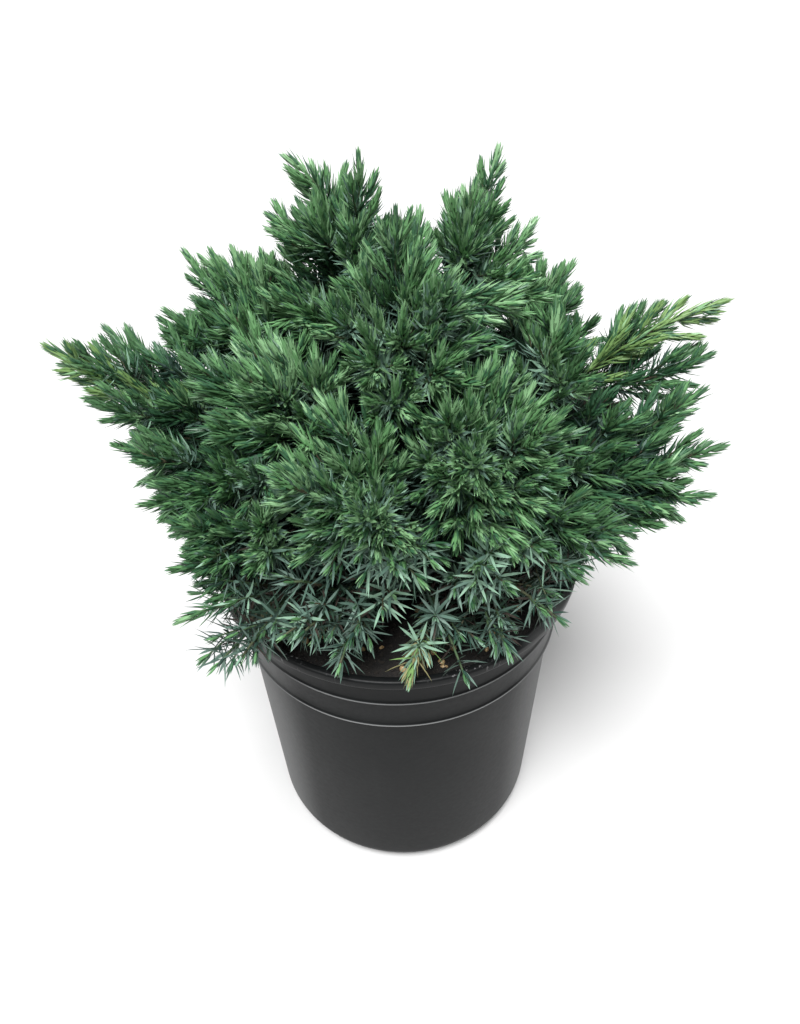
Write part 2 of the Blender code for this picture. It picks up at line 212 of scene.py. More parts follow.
# The dome: how near a direction counts to a tip, in degrees, and how far it sinks between tips.
TIP_SPREAD = 8
BASE_SPREAD = 17
BASE_SHARE = 0.83
TIP_OVERHANG = 5 * MM
NAMED_OVERHANG = 6 * MM

# Growing shoots: their share rises with the elevation, in degrees, and sooner off the front, from
# the first of two shares by the second.
GROWING_START = 23
GROWING_SPAN = 30
OFF_FRONT = 50
GROWING_SHARES = (0.04, 0.96)

# Green sprays among the blue ones, in the same way, and the dead ones among those inside.
GREEN_START = 2
GREEN_SPAN = 34
GREEN_SHARES = (0.12, 0.8)
DEAD_BELOW = 12
DEAD_LOW = 0.45
DEAD_HIGH = 0.06

# The yellow-green leader on the right, kept clear of its neighbours, the tips of its colour, and
# the one low tip in front that has dried.
LEADER = ("right_tip", 0)
YELLOW_TIPS = (LEADER, ("left_tip", 0))
LEADER_SIDES = 15
LEADER_CLEAR = 17
LEADER_SHARE = 0.81
LEADER_ARCH = 6 * MM
DRY_TIP = ("front_low_right", 1)

# Side shoots: many on growing plumes high up, and few on the stars that hang low.
NAMED_SIDES = 11
LOW_NAMED_SIDES = 3
LOW_ARM = 10
PLUME_SIDES = 7.6
STAR_SIDES = 0.6
LOW_BAND = 0.1
FRONT_BAND = 0.34
FRONT_SIDE = -0.45
SIDE_LENGTHS = (0.84, 1.12)
LAST_SIDE = 0.93
FIRST_SIDE = 0.3
SIDE_TURN = 1.3
SIDE_JITTER = 0.5
LEAST_SHRINK = 0.5
NAMED_HABIT = {"depth": 74 * MM, "opening": (28, 46), "share": 0.5, "extra": 7 * MM, "most": 19 * MM}
FILL_HABIT = {"depth": 36 * MM, "opening": (24, 52), "share": 0.8, "extra": 6 * MM, "most": 32 * MM}

# How branches bend, and how much of them bears needles.
BRANCH_POINTS = 10
SHOOT_POINTS = 5
CURVE = 0.35
UPWARD = 0.22
DOWNWARD = -0.12
UPWARD_ARM = 8
MOST_NEEDLED = 0.92
NAMED_NEEDLED = 84 * MM
HIGH_NEEDLED = 60 * MM
LOW_NEEDLED = 36 * MM
HIGH_BAND = 0.16
BRANCH_FOOT_RADIUS = 1.0 * MM
BRANCH_TIP_RADIUS = 0.5 * MM
SHOOT_FOOT_RADIUS = 0.45 * MM
SHOOT_TIP_RADIUS = 0.3 * MM
TWIG_STEPS = 4

# Needles: in whorls of three, close and forward in a growing tip, and splayed in a star. Their
# places vary by mm, their turns by radians, their leans by degrees and their lengths by shares.
CLOSE_WHORLS = 1.45 * MM
STAR_WHORLS = 1.8 * MM
WIDE_WHORLS = 1.9 * MM
OLD_WHORLS = 3.3 * MM
CLOSE_LENGTH = 15 * MM
GROWING_LEAFY = 20 * MM
STAR_LEAFY = (7.5 * MM, 14 * MM)
LEAFY_BAND = (0.15, 0.45)
WHORL_NEEDLES = 3
WHORL_TURN = 1.31
PLACE_JITTER = 0.3
TURN_JITTER = 0.25
LEAN_JITTER = 6
LENGTH_JITTER = (0.88, 1.1)
NEEDLE_LENGTH = 10.4 * MM
NEEDLE_HALF_WIDTH = 0.73 * MM
STAR_HALF_WIDTH = 0.62 * MM
KEEL_SHARE = 0.56

# Old needles lean out further, in degrees, and are shorter and narrower by these shares.
OLD_NEEDLES = 24 * MM
OLD_SPAN = 8
OLD_LEAN = 8
OLD_SHORTER = 0.12
OLD_NARROWER = 0.25

# The needles are joined in pieces, one for each sector of the crown.
SECTORS = 8

# The pot's lip and the space in it, which needles stay clear of.
LIP_ZONE = (72 * MM, 86 * MM)
LIP_CLEAR = 0.6 * MM
HANG_CLEAR = 7 * MM
NEEDLE_CLEAR = 3 * MM


def smooth(share):
    """A share from 0 to 1, eased at both ends."""
    share = np.clip(share, 0, 1)
    return share * share * (3 - 2 * share)


def direction(azimuth, elevation):
    turn, rise = math.radians(azimuth), math.radians(elevation)
    return Vector((math.cos(rise) * math.cos(turn), math.cos(rise) * math.sin(turn), math.sin(rise)))


def link(thing):
    bpy.context.scene.collection.objects.link(thing)
    return thing


def finished(thing, slot_name, *nodes):
    """Hangs a piece on the body that it rides on and hides the solids that it stands for; slot_name,
    the name of its finish, is not used.
    """
    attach(thing, BODY)
    if nodes:
        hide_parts(*nodes)
    return thing


def object_from(name, points, faces, materials=(), shades=None, smooth_shaded=True):
    """A mesh object from lists or arrays of points and faces."""
    mesh = bpy.data.meshes.new(name)
    if isinstance(faces, np.ndarray):
        corners = faces.shape[1]
        mesh.vertices.add(len(points))
        mesh.vertices.foreach_set("co", np.asarray(points, np.float32).ravel())
        mesh.loops.add(faces.size)
        mesh.loops.foreach_set("vertex_index", faces.astype(np.int32).ravel())
        mesh.polygons.add(len(faces))
        mesh.polygons.foreach_set("loop_start", np.arange(0, faces.size, corners, dtype=np.int32))
        mesh.update(calc_edges=True)
    else:
        mesh.from_pydata([tuple(point) for point in points], [], faces)
        mesh.update()
    for material in materials:
        mesh.materials.append(material)
    if shades is not None:
        mesh.polygons.foreach_set("material_index", np.asarray(shades, np.int32))
    if smooth_shaded:
        mesh.shade_smooth()
    else:
        mesh.shade_flat()
    return link(bpy.data.objects.new(name, mesh))


class Wire:
    """A socket of a material. Arithmetic on it adds Math nodes, and node() adds any other."""

    def __init__(self, tree, socket=None):
        self.tree = tree
        self.socket = socket

    def node(self, kind, settings=None, sockets=None, output=0):
        made = self.tree.nodes.new(kind)
        for name, value in (settings or {}).items():
            setattr(made, name, value)
        for name, value in (sockets or {}).items():
            if isinstance(value, Wire):
                self.tree.links.new(value.socket, made.inputs[name])
            else:
                made.inputs[name].default_value = value
        return Wire(self.tree, made.outputs[output])

    def maths(self, operation, *values):
        return self.node("ShaderNodeMath", {"operation": operation}, dict(enumerate(values)))

    def __add__(self, other):
        return self.maths("ADD", self, other)

    __radd__ = __add__

    def __mul__(self, other):
        return self.maths("MULTIPLY", self, other)

    __rmul__ = __mul__

    def __sub__(self, other):
        return self.maths("SUBTRACT", self, other)

    def __rsub__(self, other):
        return self.maths("SUBTRACT", other, self)

    def between(self, low, high):
        """0 below low, 1 above high, and eased between."""
        sockets = {"Value": self, "From Min": low, "From Max": high}
        return self.node("ShaderNodeMapRange", {"interpolation_type": "SMOOTHSTEP"}, sockets)

    def mix(self, low, high):
        """The colour low where this is 0, and high where it is 1."""
        colours = [colour if isinstance(colour, Wire) else (*colour, 1) for colour in (low, high)]
        sockets = {0: self, 6: colours[0], 7: colours[1]}
        return self.node("ShaderNodeMix", {"data_type": "RGBA"}, sockets, 2)


def new_material(name, colour, roughness, **constants):
    """A Principled material, its Wire for more nodes, and its shader."""
    material = bpy.data.materials.new(name)
    material.use_nodes = True
    shader = material.node_tree.nodes["Principled BSDF"]
    shader.inputs["Base Color"].default_value = (*colour, 1)
    shader.inputs["Roughness"].default_value = roughness
    shader.inputs["Metallic"].default_value = 0
    for socket, value in constants.items():
        shader.inputs[socket.replace("_", " ")].default_value = value
    return material, Wire(material.node_tree), shader


def join(shader, socket, wire):
    wire.tree.links.new(wire.socket, shader.inputs[socket])


def noise_at(wire, place, scale, detail=3.0, roughness=0.55):
    sockets = {"Vector": place, "Scale": scale, "Detail": detail, "Roughness": roughness}
    return wire.node("ShaderNodeTexNoise", {}, sockets)


def object_place(wire, scale=(1, 1, 1)):
    """Object coordinates, stretched along the axes."""
    place = wire.node("ShaderNodeTexCoord", output="Object")
    return wire.node("ShaderNodeMapping", {}, {"Vector": place, "Scale": scale})


def bump(wire, height, distance, strength=1.0):
    sockets = {"Height": height, "Distance": distance, "Strength": strength}
    return wire.node("ShaderNodeBump", {}, sockets, "Normal")


def plastic_material():
    """Satin black plastic: faint mottling and dust, a scuffed lip, a painted sheen at both sides, and
    ring crests pale with wear and a painted highlight.
    """
    base = (0.01, 0.011, 0.011)
    material, wire, shader = new_material("black_plastic", base, 0.38, Specular_IOR_Level=0.15)
    place = object_place(wire)
    cloud = noise_at(wire, place, 16, 4)
    streak = noise_at(wire, object_place(wire, (60, 60, 9)), 1, 3)
    fine = noise_at(wire, place, 420, 2)
    height = wire.node("ShaderNodeSeparateXYZ", {}, {"Vector": place}, "Z")
    across = wire.node("ShaderNodeSeparateXYZ", {}, {"Vector": place}, "X")
    # Pale lines along the crests of the two rings: part wear, part painted highlight on the crest.
    levels = [POT_HEIGHT - depth for depth in RING_DEPTHS]
    near = [1 - wire.maths("ABSOLUTE", height - level).between(0.2 * MM, 0.6 * MM) for level in levels]
    ring_wear_and_highlight = wire.maths("MAXIMUM", *near) * (0.6 + 0.4 * cloud.between(0.3, 0.6))
    nick = noise_at(wire, object_place(wire, (900, 900, 160)), 1, 2).between(0.6, 0.68)
    lip = height.between(POT_HEIGHT - LIP_DEPTH, POT_HEIGHT - 0.75 * LIP_DEPTH)
    nick = nick * lip * noise_at(wire, place, 34, 2).between(0.45, 0.6)
    dust = cloud.between(0.5, 0.74) * 0.5 + streak.between(0.58, 0.78) * 0.3
    colour = dust.mix((0.0035, 0.0041, 0.0043), (0.010, 0.011, 0.0114))
    # Painted sheen: a paler upright band down each side of the pot, in place of a reflection.
    flank = wire.maths("ABSOLUTE", across - 2 * MM)
    sheen = flank.between(44 * MM, 64 * MM) * (1 - flank.between(66 * MM, 79 * MM))
    colour = (sheen * (0.5 + 0.5 * cloud)).mix(colour, (0.1, 0.102, 0.102))
    # Ring crests pale with wear and a painted highlight.
    colour = (ring_wear_and_highlight * 0.85).mix(colour, (0.2, 0.205, 0.205))
    colour = (nick * 0.8).mix(colour, (0.2, 0.2, 0.2))
    join(shader, "Base Color", colour)
    join(shader, "Roughness", 0.34 + 0.16 * cloud + 0.1 * fine)
    join(shader, "Normal", bump(wire, cloud * 0.5 + fine * 0.25 + streak * 0.3, 0.35 * MM, 0.35))
    return material


def soil_material():
    material, wire, shader = new_material("potting_soil", (0.02, 0.015, 0.011), 0.95)
    place = object_place(wire)
    lumps = noise_at(wire, place, 180, 4)
    grit = noise_at(wire, place, 900, 2)
    colour = lumps.between(0.35, 0.7).mix((0.003, 0.0027, 0.0024), (0.0095, 0.0078, 0.0062))
    colour = grit.between(0.64, 0.74).mix(colour, (0.045, 0.038, 0.03))
    join(shader, "Base Color", colour)
    join(shader, "Normal", bump(wire, lumps + grit * 0.4, 1.2 * MM, 0.8))
    return material


def lump_material(name, colour, roughness, patches, dark, light, grain, relief):
    """Patches of a dark and a light colour at one noise scale, and a fine grain at another."""
    material, wire, shader = new_material(name, colour, roughness)
    place = object_place(wire)
    join(shader, "Base Color", noise_at(wire, place, patches, 3).between(0.3, 0.7).mix(dark, light))
    join(shader, "Normal", bump(wire, noise_at(wire, place, grain, 2), *relief))
    return material


def crumb_material():
    return lump_material("soil_crumbs", (0.03, 0.022, 0.016), 0.95, 240, (0.003, 0.0027, 0.0024),
                         (0.015, 0.0118, 0.0088), 1400, (0.3 * MM, 0.8))


def prill_material():
    return lump_material("feed_prills", (0.36, 0.25, 0.12), 0.4, 380, (0.25, 0.16, 0.07),
                         (0.46, 0.34, 0.18), 2600, (0.1 * MM, 0.5))


def bark_material():
    """Thin red-brown bark that peels in long grey strips."""
    material, wire, shader = new_material("bark", (0.12, 0.075, 0.05), 0.9)
    place = object_place(wire)
    strips = noise_at(wire, object_place(wire, (1400, 1400, 190)), 1, 4)
    patch = noise_at(wire, place, 150, 3)
    fibre = noise_at(wire, object_place(wire, (3200, 3200, 420)), 1, 2)
    colour = strips.between(0.36, 0.62).mix((0.035, 0.020, 0.013), (0.16, 0.095, 0.06))
    colour = (patch.between(0.5, 0.72) * strips).mix(colour, (0.26, 0.22, 0.18))
    join(shader, "Base Color", colour)
    join(shader, "Roughness", 0.78 + 0.2 * strips)
    join(shader, "Normal", bump(wire, strips + fibre * 0.5, 0.5 * MM, 0.9))
    return material


def twig_material():
    """Young twigs: olive to red-brown, with small dark scars."""
    material, wire, shader = new_material("twigs", (0.14, 0.11, 0.05), 0.7)
    place = object_place(wire)
    patch = noise_at(wire, place, 90, 2)
    scars = noise_at(wire, place, 900, 2)
    colour = patch.between(0.42, 0.66).mix((0.034, 0.072, 0.026), (0.056, 0.046, 0.024))
    colour = scars.between(0.6, 0.72).mix(colour, (0.026, 0.026, 0.014))
    join(shader, "Base Color", colour)
    join(shader, "Normal", bump(wire, scars, 0.2 * MM, 0.6))
    return material


# The needles' plain colours, dealt out by spray: growing tips, leaves and their waxy bloom.
NEEDLE_TONES = {
    "tip_dark": ((0.058, 0.145, 0.058), 0.5),
    "tip_green": ((0.104, 0.244, 0.096), 0.5),
    "tip_light": ((0.184, 0.345, 0.168), 0.5),
    "tip_yellow": ((0.142, 0.250, 0.080), 0.5),
    "leaf_green": ((0.026, 0.086, 0.038), 0.5),
    "leaf_mid": ((0.036, 0.110, 0.052), 0.5),
    "leaf_blue": ((0.024, 0.062, 0.046), 0.52),
    "leaf_grey": ((0.038, 0.074, 0.060), 0.55),
    "bloom_green": ((0.205, 0.345, 0.248), 0.6),
    "bloom_blue": ((0.080, 0.148, 0.114), 0.6),
    "bloom_pale": ((0.124, 0.196, 0.160), 0.62),
    # Near-black tones of old and inner needles, darkened partly as painted shade inside the crown.
    "shaded_inner_green": ((0.006, 0.024, 0.010), 0.6),
    "shaded_inner_bloom": ((0.019, 0.048, 0.029), 0.62),
    "dead_brown": ((0.028, 0.019, 0.013), 0.8),
    "dry_brown": ((0.130, 0.104, 0.048), 0.75),
    "dry_straw": ((0.210, 0.196, 0.090), 0.75),
}
TONE_ORDER = list(NEEDLE_TONES)

# How each kind of spray deals its colours: a share and two colours, for undersides and for tops.
MIXES = {
    "green": ((0.55, "leaf_green", "leaf_mid"), (0.6, "bloom_green", "bloom_blue")),
    "blue": ((0.6, "leaf_blue", "leaf_grey"), (0.66, "bloom_blue", "bloom_pale")),
    "yellow": ((0.5, "leaf_mid", "tip_green"), (0.7, "bloom_green", "tip_light")),
    "dry": ((0.5, "dry_straw", "tip_yellow"), (0.84, "bloom_green", "dry_brown")),
    "dead": ((0.7, "dead_brown", "shaded_inner_green"), (0.7, "dead_brown", "shaded_inner_green")),
    "inner": ((1, "shaded_inner_green", "shaded_inner_green"), (0.7, "shaded_inner_bloom", "leaf_grey")),
}

# The same for the fresh tips of whole sprays, and for their light needles.
TIP_MIXES = {
    "green": (0.65, "tip_green", "tip_light"),
    "blue": (0.6, "tip_dark", "tip_green"),
    "yellow": (1, "tip_yellow", "tip_yellow"),
}
LIGHTS = {"green": "tip_light", "blue": "bloom_green", "yellow": "tip_light"}
# Painted shade on the crown's left and right sides: sprays that point far along X take darker fresh
# tips, and light needles from this mix.
SIDE_SHADE_LIGHTS = (0.7, "tip_green", "tip_light")
SIDE_SHADE_FROM = 0.62

# Needles near a tip are fresh, and most of those past its leafy length take near-black tones, part
# age and part painted shade. A spray is also a step darker, as painted shade, for each depth that it
# lies below the crown's surface.
GROWING_FRESH = 13 * MM
STAR_FRESH = 3.5 * MM
YELLOW_FRESH = 62 * MM
GROWING_AGED_SHADED = 0.75
STAR_AGED_SHADED = 0.94
STAR_DEAD = 0.3
MID_TIPS = 0.22
LIGHT_TIPS = 0.34
FRESH_TOPS = 0.75
PAINTED_SHADE_STEP = 9 * MM
PAINTED_SHADE_STEPS = 2
PAINTED_SHADE_TONES = {
    "tip_light": "tip_green",
    "tip_green": "tip_dark",
    "tip_dark": "leaf_mid",
    "bloom_green": "bloom_blue",
    "bloom_pale": "leaf_grey",
    "bloom_blue": "leaf_grey",
    "leaf_mid": "leaf_green",
    "leaf_grey": "leaf_blue",
}


def needle_materials():
    made = []
    for name in TONE_ORDER:
        colour, roughness = NEEDLE_TONES[name]
        made.append(new_material("needle_" + name, colour, roughness)[0])
    return made


def circle(radius, steps):
    turns = [2 * math.pi * step / steps for step in range(steps)]
    return [(radius * math.cos(turn), radius * math.sin(turn)) for turn in turns]


def ring_faces(rings, steps):
    """Quads between rings of points, each ring closed on itself."""
    faces = []
    for ring in range(rings - 1):
        for step in range(steps):
            after = (step + 1) % steps
            faces.append((ring * steps + step, (ring + 1) * steps + step,
                          (ring + 1) * steps + after, ring * steps + after))
    return faces


def closed_faces(rings, steps):
    """The same, and fans at both ends to the two points that come after the rings."""
    faces = ring_faces(rings, steps)
    first, last = rings * steps, rings * steps + 1
    lowest = (rings - 1) * steps
    for step in range(steps):
        after = (step + 1) % steps
        faces += [(first, step, after), (last, lowest + after, lowest + step)]
    return faces


def turned(name, profile, steps, material):
    """A closed solid turned about Z from (radius, height) points that run from axis to axis."""
    inner = profile[1:-1]
    points = [(x, y, height) for radius, height in inner for x, y in circle(radius, steps)]
    points += [(0, 0, profile[0][1]), (0, 0, profile[-1][1])]
    thing = object_from(name, points, closed_faces(len(inner), steps), [material])
    bm = bmesh.new()
    bm.from_mesh(thing.data)
    bmesh.ops.recalc_face_normals(bm, faces=bm.faces)
    bm.to_mesh(thing.data)
    bm.free()
    return thing


def arc(centre, radius, start, end, steps):
    angles = [math.radians(start + (end - start) * step / steps) for step in range(steps + 1)]
    return [(centre[0] + radius * math.cos(a), centre[1] + radius * math.sin(a)) for a in angles]


def ridge(depth, above, below):
    """A rounded ridge round the wall, at a depth below the lip, between two wall radii."""
    height = POT_HEIGHT - depth
    points = []
    for step in range(9):
        share = step / 8
        base = above + share * (below - above)
        proud = (max(above, below) + RING_PROUD - base) * math.sin(math.pi * share) ** 2
        points.append((base + proud, height + RING_HEIGHT * (1 - 2 * share)))
    return points


def pot_profile():
    neck = POT_HEIGHT - NECK_DEPTH
    inner_lip = LIP_RADIUS - LIP_WIDTH
    roll = 1.2 * MM
    outside = arc((inner_lip + roll, POT_HEIGHT - roll), roll, 180, 90, 4)
    outside += arc((LIP_RADIUS - roll, POT_HEIGHT - roll), roll, 90, 0, 5)
    outside += [(LIP_RADIUS - 0.1 * MM, POT_HEIGHT - 3.2 * MM)]
    outside += arc((LIP_RADIUS - 1.1 * MM, POT_HEIGHT - LIP_DEPTH + 0.8 * MM), 0.9 * MM, 0, -90, 4)
    outside += [(NECK_RADIUS + 2.6 * MM, POT_HEIGHT - LIP_DEPTH)]
    outside += [(NECK_RADIUS + 0.9 * MM, POT_HEIGHT - LIP_DEPTH - 0.7 * MM)]
    outside += [(NECK_RADIUS + 0.2 * MM, neck + 1.2 * MM), (NECK_RADIUS, neck - 1 * MM)]
    outside += ridge(RING_DEPTHS[0], NECK_RADIUS - WALL / 2, BAND_RADIUS)
    outside += ridge(RING_DEPTHS[1], BAND_RADIUS, BELLY_RADIUS)
    low_wall, high_wall = FOOT_ROUND, POT_HEIGHT - RING_DEPTHS[1] - RING_HEIGHT
    for step in range(1, 12):
        share = step / 12
        radius = BELLY_RADIUS + share * (FOOT_RADIUS - BELLY_RADIUS)
        outside.append((radius, high_wall + share * (low_wall - high_wall)))
    foot_centre = (FOOT_RADIUS - FOOT_ROUND, FOOT_ROUND)
    outside += arc(foot_centre, FOOT_ROUND, 0, -90, 10)
    recess = 0.7 * MM
    outside += [(FOOT_RADIUS - FOOT_ROUND - 2 * MM, 0), (FOOT_RADIUS - FOOT_ROUND - 2.6 * MM, recess)]
    outside += [(38 * MM, recess), (9 * MM, recess), (8 * MM, 1.1 * recess)]
    inner_round = arc(foot_centre, FOOT_ROUND - WALL, -90, 0, 6)
    inside = [(0, WALL + recess), (30 * MM, WALL + recess), (54 * MM, WALL + recess)]
    inside += inner_round[1:]
    inside += [
        (BELLY_RADIUS - WALL, POT_HEIGHT - RING_DEPTHS[1]),
        (NECK_RADIUS - 1.4 * WALL, neck - WALL),
        (NECK_RADIUS - 0.4 * WALL, neck + 1.6 * MM),
    ]
    return inside + outside + [(0, 1.1 * recess)]


def make_pot(material):
    pot = turned("pot_shell", pot_profile(), POT_STEPS, material)
    bm = bmesh.new()
    for hole in range(DRAIN_HOLES):
        centre = DRAIN_CIRCLE * direction(360 * (hole + 0.5) / DRAIN_HOLES, 0)
        bmesh.ops.create_cone(bm, cap_ends=True, segments=28, radius1=DRAIN_RADIUS,
                              radius2=DRAIN_RADIUS, depth=DRAIN_CUT, matrix=Matrix.Translation(centre))
    mesh = bpy.data.meshes.new("drain_cutter")
    bm.to_mesh(mesh)
    bm.free()
    cutter = link(bpy.data.objects.new("drain_cutter", mesh))
    cut = pot.modifiers.new("Drain holes", "BOOLEAN")
    cut.operation = "DIFFERENCE"
    cut.object = cutter
    cut.solver = "EXACT"
    graph = bpy.context.evaluated_depsgraph_get()
    holed = bpy.data.meshes.new_from_object(pot.evaluated_get(graph))
    pot.modifiers.remove(cut)
    pot.data = holed
    bpy.data.objects.remove(cutter)
    for polygon in holed.polygons:
        polygon.use_smooth = True
    holed.set_sharp_from_angle(angle=math.radians(40))
    return finished(pot, "pot", "pot")


def soil_edge_radius(height):
    """The radius of the soil at a height on the pot's inner wall, a gap inside it."""
    low, high = FOOT_ROUND, POT_HEIGHT - RING_DEPTHS[1]
    top = POT_HEIGHT - NECK_DEPTH - WALL
    if height < high:
        share = (height - low) / (high - low)
        wall = FOOT_RADIUS + share * (BELLY_RADIUS - FOOT_RADIUS)
    else:
        share = (height - high) / (top - high)
        wall = BELLY_RADIUS + share * (NECK_RADIUS - BELLY_RADIUS)
    return wall - 1.4 * WALL - SOIL_GAP


def soil_height(x, y):
    """The height of the soil's lumpy top."""
    radius = math.hypot(x, y)
    mound = SOIL_MOUND * (1 - (radius / SOIL_REACH) ** 2)
    place = Vector((x, y, 0.3))
    lumps = 1.5 * MM * noise.noise(place * 75) + 0.8 * MM * noise.noise(place * 190)
    ease = min(1.0, max(0.0, (radius - STEM_CLEAR) / STEM_EASE))
    return POT_HEIGHT - SOIL_DROP - SOIL_SINK + mound + lumps * ease


def soil_rings(radii, steps):
    """Rings of points on the soil's top."""
    return [(x, y, soil_height(x, y)) for radius in radii for x, y in circle(radius, steps)]


def make_soil(material):
    rim = soil_edge_radius(POT_HEIGHT - SOIL_DROP)
    points = soil_rings([ring / SOIL_RINGS * rim for ring in range(1, SOIL_RINGS + 1)], SOIL_STEPS)
    low = [(soil_edge_radius(POT_HEIGHT - RING_DEPTHS[1]), POT_HEIGHT - RING_DEPTHS[1])]
    low += arc((FOOT_RADIUS - FOOT_ROUND, FOOT_ROUND), FOOT_ROUND - WALL - SOIL_GAP - 1 * MM, 0, -90, 5)
    for radius, height in low:
        points += [(x, y, max(height, SOIL_FLOOR)) for x, y in circle(radius, SOIL_STEPS)]
    points += [(0, 0, soil_height(0, 0)), (0, 0, SOIL_FLOOR)]
    faces = closed_faces(SOIL_RINGS + len(low), SOIL_STEPS)
    soil = object_from("soil_bed", points, faces, [material])
    return finished(soil, "soil", "soil")


def scatter_tree(name, material):
    """Geometry nodes that scatter small lumps over a surface and knock them out of round."""
    tree = bpy.data.node_groups.new(name, "GeometryNodeTree")
    inputs = {"Geometry": "Geometry", "Density": "Float", "Size": "Float", "Unevenness": "Float",
              "Seed": "Int"}
    for title, kind in inputs.items():
        tree.interface.new_socket(title, in_out="INPUT", socket_type="NodeSocket" + kind)
    tree.interface.new_socket("Geometry", in_out="OUTPUT", socket_type="NodeSocketGeometry")
    wire = Wire(tree)
    given = tree.nodes.new("NodeGroupInput")
    taken = {socket.name: Wire(tree, socket) for socket in given.outputs if socket.name}
    spots = wire.node("GeometryNodeDistributePointsOnFaces", {"distribute_method": "RANDOM"},
                      {"Mesh": taken["Geometry"], "Density": taken["Density"], "Seed": taken["Seed"]})
    lump = wire.node("GeometryNodeMeshIcoSphere", {}, {"Radius": 1.0, "Subdivisions": 2})
    turn = wire.node("FunctionNodeRandomValue", {"data_type": "FLOAT_VECTOR"},
                     {"Max": (6.28, 6.28, 6.28), "Seed": taken["Seed"]})
    scale = wire.node("FunctionNodeRandomValue", {"data_type": "FLOAT_VECTOR"},
                      {"Min": (0.45, 0.45, 0.35), "Max": (1.3, 1.2, 0.9), "Seed": taken["Seed"]})
    sized = wire.node("ShaderNodeVectorMath", {"operation": "SCALE"},
                      {0: scale, "Scale": taken["Size"]})
    placed = wire.node("GeometryNodeInstanceOnPoints", {},
                       {"Points": spots, "Instance": lump, "Rotation": turn, "Scale": sized})
    real = wire.node("GeometryNodeRealizeInstances", {}, {0: placed})
    rough = wire.node("ShaderNodeTexNoise", {"noise_dimensions": "3D"},
                      {"Scale": 520.0, "Detail": 2.0}, "Color")
    centred = wire.node("ShaderNodeVectorMath", {"operation": "SUBTRACT"},
                        {0: rough, 1: (0.5, 0.5, 0.5)})
    shift = wire.node("ShaderNodeVectorMath", {"operation": "SCALE"},
                      {0: centred, "Scale": taken["Unevenness"]})
    moved = wire.node("GeometryNodeSetPosition", {}, {"Geometry": real, "Offset": shift})
    painted = wire.node("GeometryNodeSetMaterial", {}, {"Geometry": moved, "Material": material})
    out = tree.nodes.new("NodeGroupOutput")
    tree.links.new(painted.socket, out.inputs[0])
    return tree


def scattered(name, tree, bed, **inputs):
    """A plain mesh of what the scatter makes on the top of the soil."""
    thing = link(bpy.data.objects.new(name, bed))
    grow = thing.modifiers.new("Scatter", "NODES")
    grow.node_group = tree
    for item in tree.interface.items_tree:
        if item.in_out == "INPUT" and item.name in inputs:
            grow[item.identifier] = inputs[item.name]
    graph = bpy.context.evaluated_depsgraph_get()
    made = bpy.data.meshes.new_from_object(thing.evaluated_get(graph))
    thing.modifiers.remove(grow)
    thing.data = made
    made.shade_smooth()
    return thing


def soil_top(reach):
    """A disc on the soil's top, for the scatters."""
    span = reach - SCATTER_START
    radii = [SCATTER_START + span * ring / SCATTER_RINGS for ring in range(1, SCATTER_RINGS + 1)]
    mesh = bpy.data.meshes.new("soil_top")
    points = soil_rings(radii, SCATTER_STEPS)
    mesh.from_pydata(points, [], ring_faces(SCATTER_RINGS, SCATTER_STEPS))
    mesh.update()
    return mesh


def make_crumbs():
    rim = soil_edge_radius(POT_HEIGHT - SOIL_DROP)
    crumbs = scattered("soil_crumbs", scatter_tree("crumb_scatter", crumb_material()),
                       soil_top(rim - CRUMB_EDGE), Density=90000.0, Size=1.1 * MM,
                       Unevenness=1.5 * MM, Seed=SEED)
    finished(crumbs, "soil")
    prills = scattered("feed_prills", scatter_tree("prill_scatter", prill_material()),
                       soil_top(rim - PRILL_EDGE), Density=8000.0, Size=1.9 * MM,
                       Unevenness=0.15 * MM, Seed=SEED + 3)
    finished(prills, "soil")


def stem_line(height):
    """The centre of the stem at a height above its foot."""
    share = max(0.0, height / STEM_HEIGHT - STEM_UPRIGHT)
    return Vector((0, 0, STEM_FOOT + height)) + share * STEM_LEAN


def bough_line(name, height, steps=BOUGH_POINTS):
    """Points along a bough: it leaves the stem at a height and bends into its arm's direction."""
    azimuth, elevation, reach = ARMS[name][0]
    along = direction(azimuth, elevation)
    end = FORK + BOUGH_SHARE * reach * MM * along
    if name == TOP_ARM:
        root = stem_line(STEM_HEIGHT) - Vector((0, 0, BOUGH_SINK))
        leave = Vector((0, 0, 1))
    else:
        root = stem_line(height)
        leave = direction(azimuth, elevation / 2 + BOUGH_OPENING)
    span = (end - root).length
    first, last = BOUGH_BENDS
    return bezier((root, root + first * span * leave, end - last * span * along, end), steps)


def bezier(knots, steps):
    """Points along a cubic curve from the first knot to the last, bent towards those between."""
    points = []
    for step in range(steps):
        t = step / (steps - 1)
        weights = ((1 - t) ** 3, 3 * t * (1 - t) ** 2, 3 * t * t * (1 - t), t ** 3)
        points.append(sum((w * k for w, k in zip(weights, knots)), Vector()))
    return points


def outside_stem(line):
    """Points close together along the part of a bough's line that is outside the stem."""
    close = [a.lerp(b, step / 8) for a, b in zip(line, line[1:]) for step in range(9)]
    centres = [stem_line(min(STEM_HEIGHT, point.z - STEM_FOOT)) for point in close]
    return [point for point, centre in zip(close, centres) if (point - centre).length > STEM_RADIUS]


